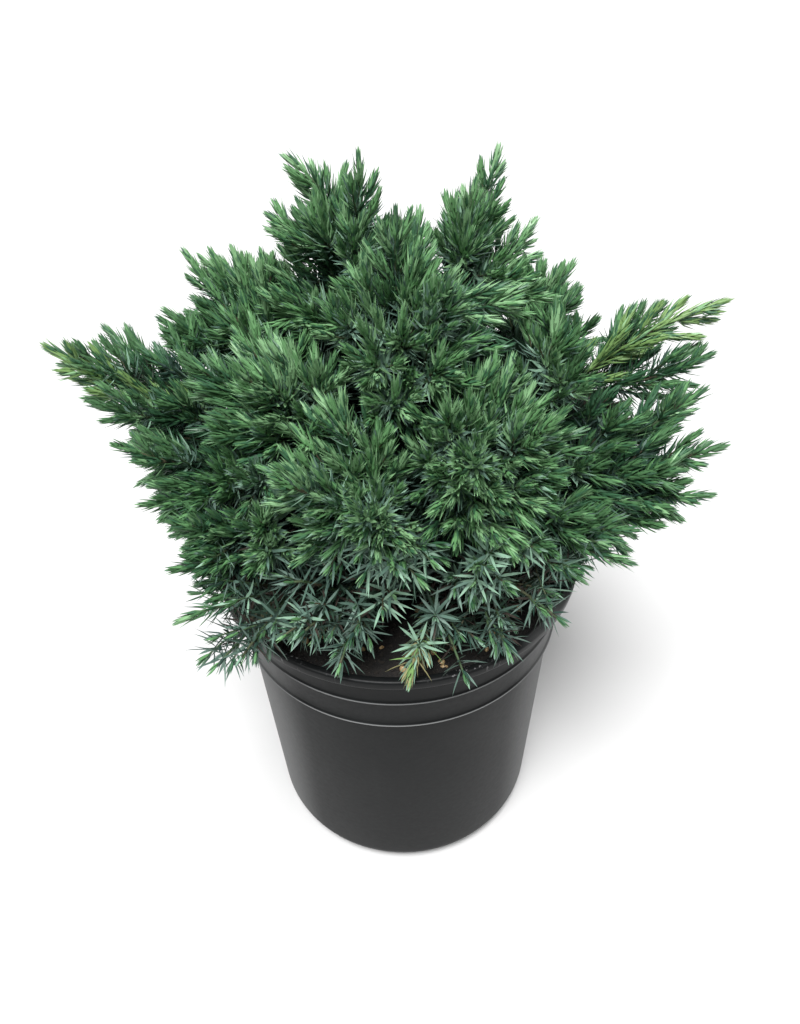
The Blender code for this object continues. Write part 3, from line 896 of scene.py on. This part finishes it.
def bough_heights():
    """Steeper arms leave the stem higher up, each as near its own height as the others let it."""
    rises = [tips[0][1] for tips in ARMS.values()]
    heights, taken = {}, {TOP_ARM: outside_stem(bough_line(TOP_ARM, STEM_HEIGHT))}
    for name in sorted(ARMS, key=lambda arm: ARMS[arm][0][1]):
        share = (ARMS[name][0][1] - min(rises)) / (max(rises) - min(rises))
        wish = LOWEST_BOUGH + share * BOUGH_RISE
        for step in range(BOUGH_TRIES):
            shift = (step + 1) // 2 * BOUGH_STEP * (1 if step % 2 else -1)
            height = min(max(wish + shift, LOWEST_BOUGH), HIGHEST_BOUGH)
            spots = outside_stem(bough_line(name, height))
            others = [spot for other in taken if other != name for spot in taken[other]]
            if all((a - b).length > BOUGH_CLEAR for a in spots for b in others):
                break
        heights[name], taken[name] = height, spots
    return heights


def unit(rows):
    return rows / np.linalg.norm(rows, axis=1, keepdims=True)


def frames_along(points):
    """Tangents of a line and two directions square to each, with no sudden turns."""
    points = np.asarray(points, float)
    tangents = unit(np.gradient(points, axis=0))
    side = np.cross(tangents[0], (0.31, 0.52, 0.8))
    sides = []
    for tangent in tangents:
        side = side - tangent * np.dot(side, tangent)
        side = side / np.linalg.norm(side)
        sides.append(side)
    sides = np.array(sides)
    return points, tangents, sides, np.cross(tangents, sides)


def add_limb(points, faces, line, radii, steps, relief=None):
    """Adds a limb with blunt ends to lists, its skin raised by relief(share, angle, centre)."""
    first = len(points)
    centres, tangents, sides, others = frames_along(line)
    for ring, (centre, radius) in enumerate(zip(centres, radii)):
        for step in range(steps):
            angle = 2 * math.pi * step / steps
            out = math.cos(angle) * sides[ring] + math.sin(angle) * others[ring]
            grown = radius + (relief(ring / (len(radii) - 1), angle, centre) if relief else 0.0)
            points.append(centre + grown * out)
    points.append(centres[0] - LIMB_FOOT * radii[0] * tangents[0])
    points.append(centres[-1] + LIMB_TIP * radii[-1] * tangents[-1])
    for face in closed_faces(len(radii), steps):
        faces.append(tuple(first + corner for corner in face[:1] + face[:0:-1]))


def make_wood(heights, material):
    """The stem with its root flare and all the boughs, in one skin of peeling bark."""
    def stem_relief(share, angle, centre):
        ropes = 0.5 * MM * math.sin(3 * angle + 4 * share) * (1 - 0.6 * share)
        place = Vector((math.cos(angle) * 2.6, math.sin(angle) * 2.6, centre[2] * 60))
        return ropes + 0.9 * MM * noise.noise(place) + 0.35 * MM * noise.noise(place * 3.1)

    def bough_relief(share, angle, centre):
        place = Vector((math.cos(angle) * 1.7, math.sin(angle) * 1.7, share * 5)) + Vector(centre) * 90
        return 0.28 * MM * noise.noise(place) + 0.12 * MM * noise.noise(place * 2.7)

    line = [stem_line(STEM_HEIGHT * level / STEM_RINGS) for level in range(STEM_RINGS + 1)]
    radii = []
    for level in range(STEM_RINGS + 1):
        share = level / STEM_RINGS
        flare = (STEM_FOOT_RADIUS - STEM_RADIUS) * math.exp(-9 * share)
        radii.append(STEM_RADIUS + share * (STEM_TIP_RADIUS - STEM_RADIUS) + flare - BARK_INSET)
    points, faces = [], []
    add_limb(points, faces, line, radii, STEM_STEPS, stem_relief)
    for name in ARMS:
        line = bough_line(name, heights[name], BOUGH_RINGS)
        radii = [BOUGH_FOOT_RADIUS + share * (BOUGH_TIP_RADIUS - BOUGH_FOOT_RADIUS)
                 for share in np.linspace(0, 1, len(line))]
        add_limb(points, faces, line, radii, BOUGH_STEPS, bough_relief)
    wood = object_from("stem_and_boughs", points, faces, [material])
    return finished(wood, "bark", "stem", *["bough_" + name for name in ARMS])


def middle_of(name):
    """The direction of the middle of an arm's tips."""
    return sum((direction(tip[0], tip[1]) for tip in ARMS[name]), Vector()).normalized()


def rise_of(way):
    """The elevation of a direction, in degrees."""
    return math.degrees(math.asin(way.z))


def growing_share(way):
    """The share of growing shoots in a direction: few low in front, and nearly all high up."""
    rise = rise_of(way) + OFF_FRONT * (1 - max(0.0, -way.y) ** 2)
    least, more = GROWING_SHARES
    return least + more * float(smooth((rise - GROWING_START) / GROWING_SPAN))


def spread(count, number, lowest, around):
    """The direction of one of a count that are spread evenly over the dome above a height."""
    height = 1 - (1 - lowest) * (number + 0.5) / count
    level = math.sqrt(1 - height * height)
    return Vector((level * math.cos(around), level * math.sin(around), height))


class Crown:
    """Grows the branches and shoots of every arm, and keeps them in its reach."""

    def __init__(self):
        self.chance = np.random.default_rng(SEED)
        self.middles = {name: middle_of(name) for name in ARMS}
        self.named = []
        for name, tips in ARMS.items():
            self.named += [(name, number, *tip) for number, tip in enumerate(tips)]
        self.named += [(name, len(ARMS[name]), *tip) for name, *tip in FINE_TIPS]
        self.tips = [(direction(az, el), reach * MM) for _, _, az, el, reach in self.named]
        self.shoots = []

    def reach(self, way):
        """How far the crown goes in a direction: full at a named tip, and less between tips."""
        total = weights = best = 0.0
        for tip, reach in self.tips:
            angle = math.degrees(math.acos(max(-1.0, min(1.0, way.dot(tip)))))
            weight = math.exp(-((angle / BASE_SPREAD) ** 2)) + 0.0001
            total += weight * reach
            weights += weight
            if angle < TIP_SPREAD:
                best = max(best, reach * (1 - (1 - BASE_SHARE) * angle / TIP_SPREAD))
        return max(best, BASE_SHARE * total / weights)

    def arm_of(self, way):
        return max(self.middles, key=lambda name: self.middles[name].dot(way))

    def free(self, point):
        """Whether a twig may be there: over the pot's lip, or over the soil inside it."""
        radius = math.hypot(point.x, point.y)
        if radius > OVER_SOIL:
            return point.z > LOWEST_TWIG
        return point.z > POT_HEIGHT - SOIL_DROP + SOIL_CLEAR

    def branch(self, name, way, reach, number, sides, named=False, inner=False):
        """A branch from its arm's axis to the end of a direction, with its side shoots."""
        chance = self.chance
        azimuth, elevation, arm_reach = ARMS[name][0]
        axis = direction(azimuth, elevation)
        low, high = BRANCH_ROOTS
        share = low + (high - low) * (number * GOLDEN_SHARE % 1)
        if inner:
            share = BOUGH_SHARE + INNER_ROOTS * (number * GOLDEN_SHARE % 1)
        if named:
            share = BOUGH_SHARE if number == 0 else SECOND_ROOT
        start = FORK + share * min(arm_reach * MM, reach * ROOT_REACH) * axis
        trim = TRIMS.get((name, number), 0) * MM if named else 0
        tip = FORK + (reach - trim - (NAMED_OVERHANG if named else TIP_OVERHANG)) * way
        if not self.free(tip):
            tip.z = max(tip.z, LOWEST_TIP)
        span = (tip - start).length
        if span < SHORTEST_BRANCH:
            return
        straight = (tip - start).normalized()
        lift = Vector((0, 0, UPWARD if elevation > UPWARD_ARM else DOWNWARD))
        if named:
            lift = Vector(LEANS.get((name, number), lift))
        leave = (0.5 * straight + 0.5 * axis).normalized()
        arrive = (0.75 * straight + 0.25 * way + lift).normalized()
        arch = Vector((0, 0, LEADER_ARCH if named and (name, number) == LEADER else 0))
        knots = (start, start + CURVE * span * leave + arch, tip - CURVE * span * arrive + arch, tip)
        line = bezier(knots, BRANCH_POINTS)
        if not all(self.free(point) for point in line[BRANCH_FREE_FROM:]):
            return
        tone = self.tone(name, number if named else None, tip, inner)
        leafy = NAMED_NEEDLED if named else HIGH_NEEDLED if way.z > HIGH_BAND else LOW_NEEDLED
        needled = min(MOST_NEEDLED, leafy / span)
        self.shoots.append(Shoot(line, BRANCH_FOOT_RADIUS, BRANCH_TIP_RADIUS, tone, needled, chance))
        habit = NAMED_HABIT if named else FILL_HABIT
        first_at = max(FIRST_SIDE, 1 - habit["depth"] / span)
        for side in range(sides):
            at = first_at + (LAST_SIDE - first_at) * (side + SIDE_JITTER * chance.random()) / sides
            place, along = self.on_line(line, at)
            angle = number * SIDE_TURN + side * GOLDEN_ANGLE + SIDE_JITTER * chance.random()
            opening = math.radians(chance.uniform(*habit["opening"]))
            out = self.across(along, angle)
            first = math.cos(opening) * along + math.sin(opening) * out
            last = (0.7 * first + 0.5 * along + Vector((0, 0, 0.6 * lift.z))).normalized()
            left = (1 - at) * span
            length = (habit["share"] * left + habit["extra"]) * chance.uniform(*SIDE_LENGTHS)
            self.side_shoot(place, first, last, min(length, habit["most"]), tone)

    def side_shoot(self, place, first, last, length, tone):
        """A shoot that turns from one direction to another, cut back to the crown's surface."""
        points = []
        for step in range(SHOOT_POINTS):
            t = step / (SHOOT_POINTS - 1)
            points.append(place + length * (t * first + 0.5 * t * t * (last - first)))
        end = points[-1] - FORK
        over = end.length - (self.reach(end.normalized()) - TIP_OVERHANG)
        if over > 0:
            shrink = 1 - over / length
            if shrink < LEAST_SHRINK:
                return
            points = [place + shrink * (point - place) for point in points]
        if not all(self.free(point) for point in points[SHOOT_FREE_FROM:]):
            return
        self.shoots.append(Shoot(points, SHOOT_FOOT_RADIUS, SHOOT_TIP_RADIUS, tone, 1.0, self.chance))

    def tone(self, name, number, tip, inner):
        """Which sprays are green, blue, yellow, dry or dead, by where they are in the crown."""
        draw = self.chance.random()
        rise = rise_of((tip - FORK).normalized())
        if inner:
            # Sprays inside are dead, or take near-black tones that are partly painted shade.
            return "dead" if draw < (DEAD_LOW if rise < DEAD_BELOW else DEAD_HIGH) else "inner"
        if (name, number) in YELLOW_TIPS:
            return "yellow"
        if (name, number) == DRY_TIP:
            return "dry"
        least, more = GREEN_SHARES
        green = least + more * smooth((rise - GREEN_START) / GREEN_SPAN)
        return "green" if self.chance.random() < green else "blue"

    @staticmethod
    def on_line(line, at):
        """The point and the tangent at a share of a line."""
        spot = at * (len(line) - 1)
        index = min(int(spot), len(line) - 2)
        along = (line[index + 1] - line[index]).normalized()
        return line[index].lerp(line[index + 1], spot - index), along

    @staticmethod
    def across(along, angle):
        side = along.orthogonal().normalized()
        return (Matrix.Rotation(angle, 3, along) @ side).normalized()

    def grow(self):
        """All the shoots of the crown: to its tips, between them, and deep inside."""
        for name, number, azimuth, elevation, reach in self.named:
            sides = NAMED_SIDES if elevation > LOW_ARM else LOW_NAMED_SIDES
            if (name, number) in YELLOW_TIPS:
                sides = LEADER_SIDES
            self.branch(name, direction(azimuth, elevation), reach * MM, number, sides, named=True)
        lowest = math.sin(math.radians(LOWEST_FILL))
        leader = direction(*ARMS[LEADER[0]][LEADER[1]][:2])
        for number in range(FILL_BRANCHES):
            around = number * GOLDEN_ANGLE + 0.25 * self.chance.random()
            way = spread(FILL_BRANCHES, number, lowest, around)
            reach = self.reach(way) * (1 - FILL_CHANCE * self.chance.random())
            if math.degrees(way.angle(leader)) < LEADER_CLEAR:
                reach *= LEADER_SHARE
            more = growing_share(way) * (PLUME_SIDES - STAR_SIDES)
            sides = round(STAR_SIDES + more + 2 * self.chance.random())
            front = way.y < FRONT_SIDE and way.z < FRONT_BAND
            if (front or way.z < LOW_BAND) and number % 2:
                continue
            self.branch(self.arm_of(way), way, reach, number, sides)
        for number in range(INNER_BRANCHES):
            way = spread(INNER_BRANCHES, number, lowest, number * GOLDEN_ANGLE + 2.0)
            reach = self.reach(way) * self.chance.uniform(*INNER_REACH)
            self.branch(self.arm_of(way), way, reach, number, INNER_SIDES, inner=True)
        for shoot in self.shoots:
            end = shoot.points[-1] - FORK
            shoot.depth = self.reach(end.normalized()) - TIP_OVERHANG - end.length
        return self.shoots


class Shoot:
    """A twig: its points, radii, colour and the share of its length that bears needles."""

    def __init__(self, points, foot_radius, tip_radius, tone, needled, chance):
        self.points = points
        self.foot_radius = foot_radius
        self.tip_radius = tip_radius
        self.tone = tone
        self.needled = needled
        self.vigour = chance.uniform(0.88, 1.1)
        self.roll = chance.uniform(0, 6.28)
        self.depth = 0.0
        self.pick = chance.random()
        way = (points[-1] - FORK).normalized()
        self.side_shaded = abs(way.x) > SIDE_SHADE_FROM
        self.growing = chance.random() < growing_share(way)
        self.leafy = GROWING_LEAFY
        if not self.growing:
            low, high = STAR_LEAFY
            self.leafy = low + (high - low) * float(smooth((way.z - LEAFY_BAND[0]) / LEAFY_BAND[1]))

    def sector(self):
        tip = self.points[-1]
        turn = math.atan2(tip.y, tip.x) / (2 * math.pi) % 1
        return int(turn * SECTORS) % SECTORS


def dealt(draw, share, first, second):
    """The index of one colour below a share, and of another above it."""
    return np.where(draw < share, TONE_ORDER.index(first), TONE_ORDER.index(second))


def shades_of(shoot, far, chance):
    """The indices of the lower and upper colours of needles at distances below the tip."""
    draw = chance.random(len(far))
    lower, upper = (dealt(draw, *mix) for mix in MIXES[shoot.tone])
    if shoot.tone not in TIP_MIXES:
        return lower, upper
    order = TONE_ORDER.index
    mixed = chance.random(len(far))
    old = far > shoot.leafy
    # Most old needles take near-black tones: part age, part painted shade inside the spray.
    aged_and_shaded = old & (draw < (GROWING_AGED_SHADED if shoot.growing else STAR_AGED_SHADED))
    lower = np.where(aged_and_shaded, order("shaded_inner_green"), lower)
    upper = np.where(aged_and_shaded, order("shaded_inner_bloom"), upper)
    if not shoot.growing:
        dead = old & (draw < STAR_DEAD)
        lower = np.where(dead, order("dead_brown"), lower)
        upper = np.where(dead, order("dead_brown"), upper)
    tip = dealt(shoot.pick, *TIP_MIXES[shoot.tone])
    light = order(LIGHTS[shoot.tone])
    # Painted shade on the crown's two sides: darker fresh tips there.
    if shoot.side_shaded and shoot.tone != "yellow":
        tip = order("tip_dark")
        light = dealt(shoot.pick, *SIDE_SHADE_LIGHTS)
    tips = np.where(mixed < MID_TIPS, order("leaf_mid"), np.where(mixed < LIGHT_TIPS, light, tip))
    fresh = far < (GROWING_FRESH if shoot.growing else STAR_FRESH)
    fresh |= (shoot.tone == "yellow") & (far < YELLOW_FRESH)
    lower = np.where(fresh, tips, lower)
    upper = np.where(fresh & (draw < FRESH_TOPS), light, upper)
    # Painted shade: a spray turns a step darker for each depth below the crown's surface.
    painted_shade = np.array([order(PAINTED_SHADE_TONES.get(tone, tone)) for tone in TONE_ORDER])
    for _ in range(min(PAINTED_SHADE_STEPS, int(max(0.0, shoot.depth) / PAINTED_SHADE_STEP))):
        lower, upper = painted_shade[lower], painted_shade[upper]
    return lower, upper


def whorls_below(length, growing, leafy):
    """Distances below a shoot's tip at which its whorls sit, close together near the tip."""
    close = CLOSE_LENGTH if growing else leafy
    near = np.arange(0.2 * MM, min(length, close), CLOSE_WHORLS if growing else STAR_WHORLS)
    return np.concatenate([near, np.arange(close, length, WIDE_WHORLS if growing else OLD_WHORLS)])


def eased(far, start, span):
    """0 up to a distance below the tip, in mm, and 1 from a span further down."""
    return smooth((far - start) / span)


def growing_form(far, yellow):
    """Lean in degrees, and shares of length, width and bend, of a growing shoot's needles."""
    opening = 6 * eased(far, 30, 20) if yellow else 35 * eased(far, 6, 11)
    lean = 15 + 9 * eased(far, 0, 5) + opening
    length = 0.54 + 0.36 * eased(far, 0, 5.5) + 0.1 * eased(far, 8, 8)
    width = 1.04 - 0.06 * eased(far, 8, 9)
    return lean, length, width, np.full(len(far), 0.17)


def star_form(far, leafy):
    """The same for a star's needles, which stand out more and more below its tip."""
    slow = 0.45 * leafy / MM
    lean = 14 + 18 * eased(far, 0, slow) + 40 * eased(far, 2.5, slow)
    length = 0.5 + 0.6 * eased(far, 1.0, 3.5)
    width = 0.8 + 0.22 * eased(far, 1.5, 3.5)
    return lean, length, width, 0.16 - 0.1 * eased(far, 2, 3)


def rows_at(at, along, rows):
    """Rows of three numbers, given at distances along a line, at other distances along it."""
    return np.stack([np.interp(at, along, rows[:, axis]) for axis in range(3)], axis=1)


def needles_of(shoot, chance):
    """Arrays for one shoot's needles: roots, axes, ways out, leans, sizes and colours."""
    centres, tangents, sides, _ = frames_along(shoot.points)
    steps = np.linalg.norm(np.diff(centres, axis=0), axis=1)
    along = np.concatenate([[0], np.cumsum(steps)])
    total = along[-1]
    far = np.repeat(whorls_below(total * shoot.needled, shoot.growing, shoot.leafy), WHORL_NEEDLES)
    count = len(far)
    far = far + chance.uniform(-PLACE_JITTER, PLACE_JITTER, count) * MM
    at = np.clip(total - far, 0, total)
    spots = rows_at(at, along, centres)
    ways = unit(rows_at(at, along, tangents))
    side = rows_at(at, along, sides)
    side = unit(side - ways * np.sum(side * ways, axis=1, keepdims=True))
    other = np.cross(ways, side)
    whorl = np.arange(count) // WHORL_NEEDLES
    place = np.arange(count) % WHORL_NEEDLES
    angle = shoot.roll + whorl * WHORL_TURN + place * 2 * np.pi / WHORL_NEEDLES
    angle = angle + chance.uniform(-TURN_JITTER, TURN_JITTER, count)
    out = np.cos(angle)[:, None] * side + np.sin(angle)[:, None] * other
    far_mm = far / MM
    if shoot.growing:
        lean, length, width, bend = growing_form(far_mm, shoot.tone == "yellow")
        half_width = NEEDLE_HALF_WIDTH
    else:
        lean, length, width, bend = star_form(far_mm, shoot.leafy)
        half_width = STAR_HALF_WIDTH
    old = eased(far_mm, OLD_NEEDLES / MM, OLD_SPAN)
    lean = np.radians(lean + OLD_LEAN * old + chance.uniform(-LEAN_JITTER, LEAN_JITTER, count))
    length = NEEDLE_LENGTH * shoot.vigour * length * (1 - OLD_SHORTER * old)
    length = length * chance.uniform(*LENGTH_JITTER, count)
    width = half_width * width * (1 - OLD_NARROWER * old)
    lower, upper = shades_of(shoot, far, chance)
    plain = (far > OLD_NEEDLES) | (lower == TONE_ORDER.index("shaded_inner_green")) | shoot.growing
    return spots, ways, out, lean, length, width, plain, lower, upper, bend


def blades(part, plain):
    """Points, triangles and colours of needles: closed, keeled, pointed blades.

    A plain blade has one ring of points in place of two, for growing, old and inner needles.
    """
    spots, ways, out, lean, length, width, _, lower, upper, bend = part
    cos, sin = np.cos(lean)[:, None], np.sin(lean)[:, None]
    along = cos * ways + sin * out
    face = sin * ways - cos * out
    side = np.cross(along, face)
    long, half = length[:, None], width[:, None]
    keel_depth = half * KEEL_SHARE
    bend = bend[:, None]

    def ring(share, wide, keel):
        centre = spots + long * (share * along + bend * share * share * face)
        across = half * wide * side
        return (centre - across, centre + across, centre - keel_depth * keel * face)

    if plain:
        columns = [spots, *ring(0.4, 1.0, 1.0), spots + long * (along + bend * face)]
        pattern = [(0, 2, 1), (1, 2, 4), (0, 1, 3), (0, 3, 2), (3, 1, 4), (2, 3, 4)]
        uppers = 2
    else:
        tip = spots + long * (along + bend * face)
        columns = [spots, *ring(0.28, 1.0, 1.0), *ring(0.68, 0.8, 0.8), tip]
        pattern = [(0, 2, 1), (1, 2, 5), (1, 5, 4), (4, 5, 7), (0, 1, 3), (0, 3, 2), (3, 1, 4),
                   (3, 4, 6), (2, 3, 6), (2, 6, 5), (6, 4, 7), (5, 6, 7)]
        uppers = 4
    points = np.stack(columns, axis=1).reshape(-1, 3)
    first = len(columns) * np.arange(len(spots))[:, None, None]
    faces = (np.array(pattern)[None] + first).reshape(-1, 3)
    is_upper = np.arange(len(pattern)) < uppers
    shades = np.where(is_upper[None], upper[:, None], lower[:, None]).reshape(-1)
    return points, faces, shades


def needle_mesh(parts):
    """One joined mesh of needles, of bent blades and plain ones."""
    part = tuple(np.concatenate(column) for column in zip(*parts))
    plain = part[6]
    bent_blades = blades(tuple(column[~plain] for column in part), False)
    plain_blades = blades(tuple(column[plain] for column in part), True)
    points = np.concatenate([bent_blades[0], plain_blades[0]])
    faces = np.concatenate([bent_blades[1], plain_blades[1] + len(bent_blades[0])])
    return points, faces, np.concatenate([bent_blades[2], plain_blades[2]])


def clear_of_pot(part):
    """Drops the needles whose points would run into the pot's lip or the soil."""
    spots, ways, out, lean, length = part[:5]
    tips = spots + length[:, None] * (np.cos(lean)[:, None] * ways + np.sin(lean)[:, None] * out)
    radius = np.hypot(tips[:, 0], tips[:, 1])
    near, past = LIP_ZONE
    low = np.where(radius < past, POT_HEIGHT + LIP_CLEAR, POT_HEIGHT - HANG_CLEAR)
    low = np.where(radius < near, POT_HEIGHT - SOIL_DROP + NEEDLE_CLEAR, low)
    kept = tips[:, 2] > low
    return tuple(column[kept] for column in part)


def make_needles(shoots, materials):
    chance = np.random.default_rng(SEED + 1)
    sectors = [[] for _ in range(SECTORS)]
    for shoot in shoots:
        part = clear_of_pot(needles_of(shoot, chance))
        if len(part[0]):
            sectors[shoot.sector()].append(part)
    turns = {name: tips[0][0] / 360 * SECTORS for name, tips in ARMS.items()}
    for sector, parts in enumerate(sectors):
        points, faces, shades = needle_mesh(parts)
        name = f"needles_{sector + 1}"
        piece = object_from(name, points, faces, materials, shades, smooth_shaded=False)
        own = ["foliage_" + arm for arm in ARMS if int(turns[arm]) % SECTORS == sector]
        finished(piece, "needles", *own)


def make_twigs(shoots, material):
    points, faces = [], []
    for shoot in shoots:
        radii = np.linspace(shoot.foot_radius, shoot.tip_radius, len(shoot.points))
        add_limb(points, faces, shoot.points, radii, TWIG_STEPS)
    twigs = object_from("twigs", points, faces, [material])
    return finished(twigs, "bark")


def add_arm_axes(shoots):
    """Adds the axis of each arm, from its bough's end to where its outermost branches begin."""
    for tips in ARMS.values():
        azimuth, elevation, reach = tips[0]
        axis = direction(azimuth, elevation)
        start = FORK + BOUGH_SHARE * reach * MM * axis
        end = FORK + BRANCH_ROOTS[1] * reach * MM * axis
        line = [start.lerp(end, step / (AXIS_POINTS - 1)) for step in range(AXIS_POINTS)]
        chance = np.random.default_rng(1)
        shoots.append(Shoot(line, BOUGH_TIP_RADIUS, AXIS_TIP_RADIUS, "inner", 0.95, chance))


def make_camera():
    camera = bpy.data.cameras.new("camera")
    camera.sensor_fit = "VERTICAL"
    camera.sensor_height = SENSOR
    camera.lens = CAMERA_LENS
    camera.clip_start = 0.01
    camera.clip_end = 50
    thing = link(bpy.data.objects.new("camera", camera))
    back = -CAMERA_AIM.normalized()
    right = CAMERA_UP.cross(back).normalized()
    up = back.cross(right)
    turn = Matrix((right, up, back)).transposed().to_4x4()
    thing.matrix_world = Matrix.Translation(CAMERA_PLACE) @ turn
    bpy.context.scene.camera = thing


def soft_sun(name, place, strength, spread):
    """A large far light that shines from a place towards the pot, spread over some degrees."""
    light = bpy.data.lights.new(name, "SUN")
    light.energy = strength
    light.angle = math.radians(spread)
    thing = link(bpy.data.objects.new(name, light))
    aim = -Vector(place)
    turn = aim.to_track_quat("-Z", "Y").to_matrix().to_4x4()
    thing.matrix_world = Matrix.Translation(place) @ turn


def make_studio():
    world = bpy.data.worlds.new("studio")
    world.use_nodes = True
    backdrop = world.node_tree.nodes["Background"]
    backdrop.inputs["Color"].default_value = (1, 1, 1, 1)
    wire = Wire(world.node_tree)
    seen = wire.node("ShaderNodeLightPath", output="Is Camera Ray")
    join(backdrop, "Strength", WORLD_STRENGTH + (BACKDROP_STRENGTH - WORLD_STRENGTH) * seen)
    scene = bpy.context.scene
    scene.world = world
    scene.view_settings.view_transform = "Standard"
    soft_sun("key", KEY_PLACE, KEY_STRENGTH, KEY_SPREAD)
    soft_sun("fill", FILL_PLACE, FILL_STRENGTH, FILL_SPREAD)
    material, wire, shader = new_material("floor", (0.5, 0.5, 0.5), 0.9)
    tint = noise_at(wire, object_place(wire), 3, 2).mix((0.495, 0.495, 0.495), (0.505, 0.505, 0.505))
    join(shader, "Base Color", tint)
    half = FLOOR_HALF
    corners = [(-half, -half, 0), (half, -half, 0), (half, half, 0), (-half, half, 0)]
    floor = object_from("floor", corners, [(0, 1, 2, 3)], [material], smooth_shaded=False)


make_camera()
make_studio()
make_pot(plastic_material())
make_soil(soil_material())
make_crumbs()
bough_places = bough_heights()
make_wood(bough_places, bark_material())
crown_shoots = Crown().grow()
add_arm_axes(crown_shoots)
make_needles(crown_shoots, needle_materials())
make_twigs(crown_shoots, twig_material())
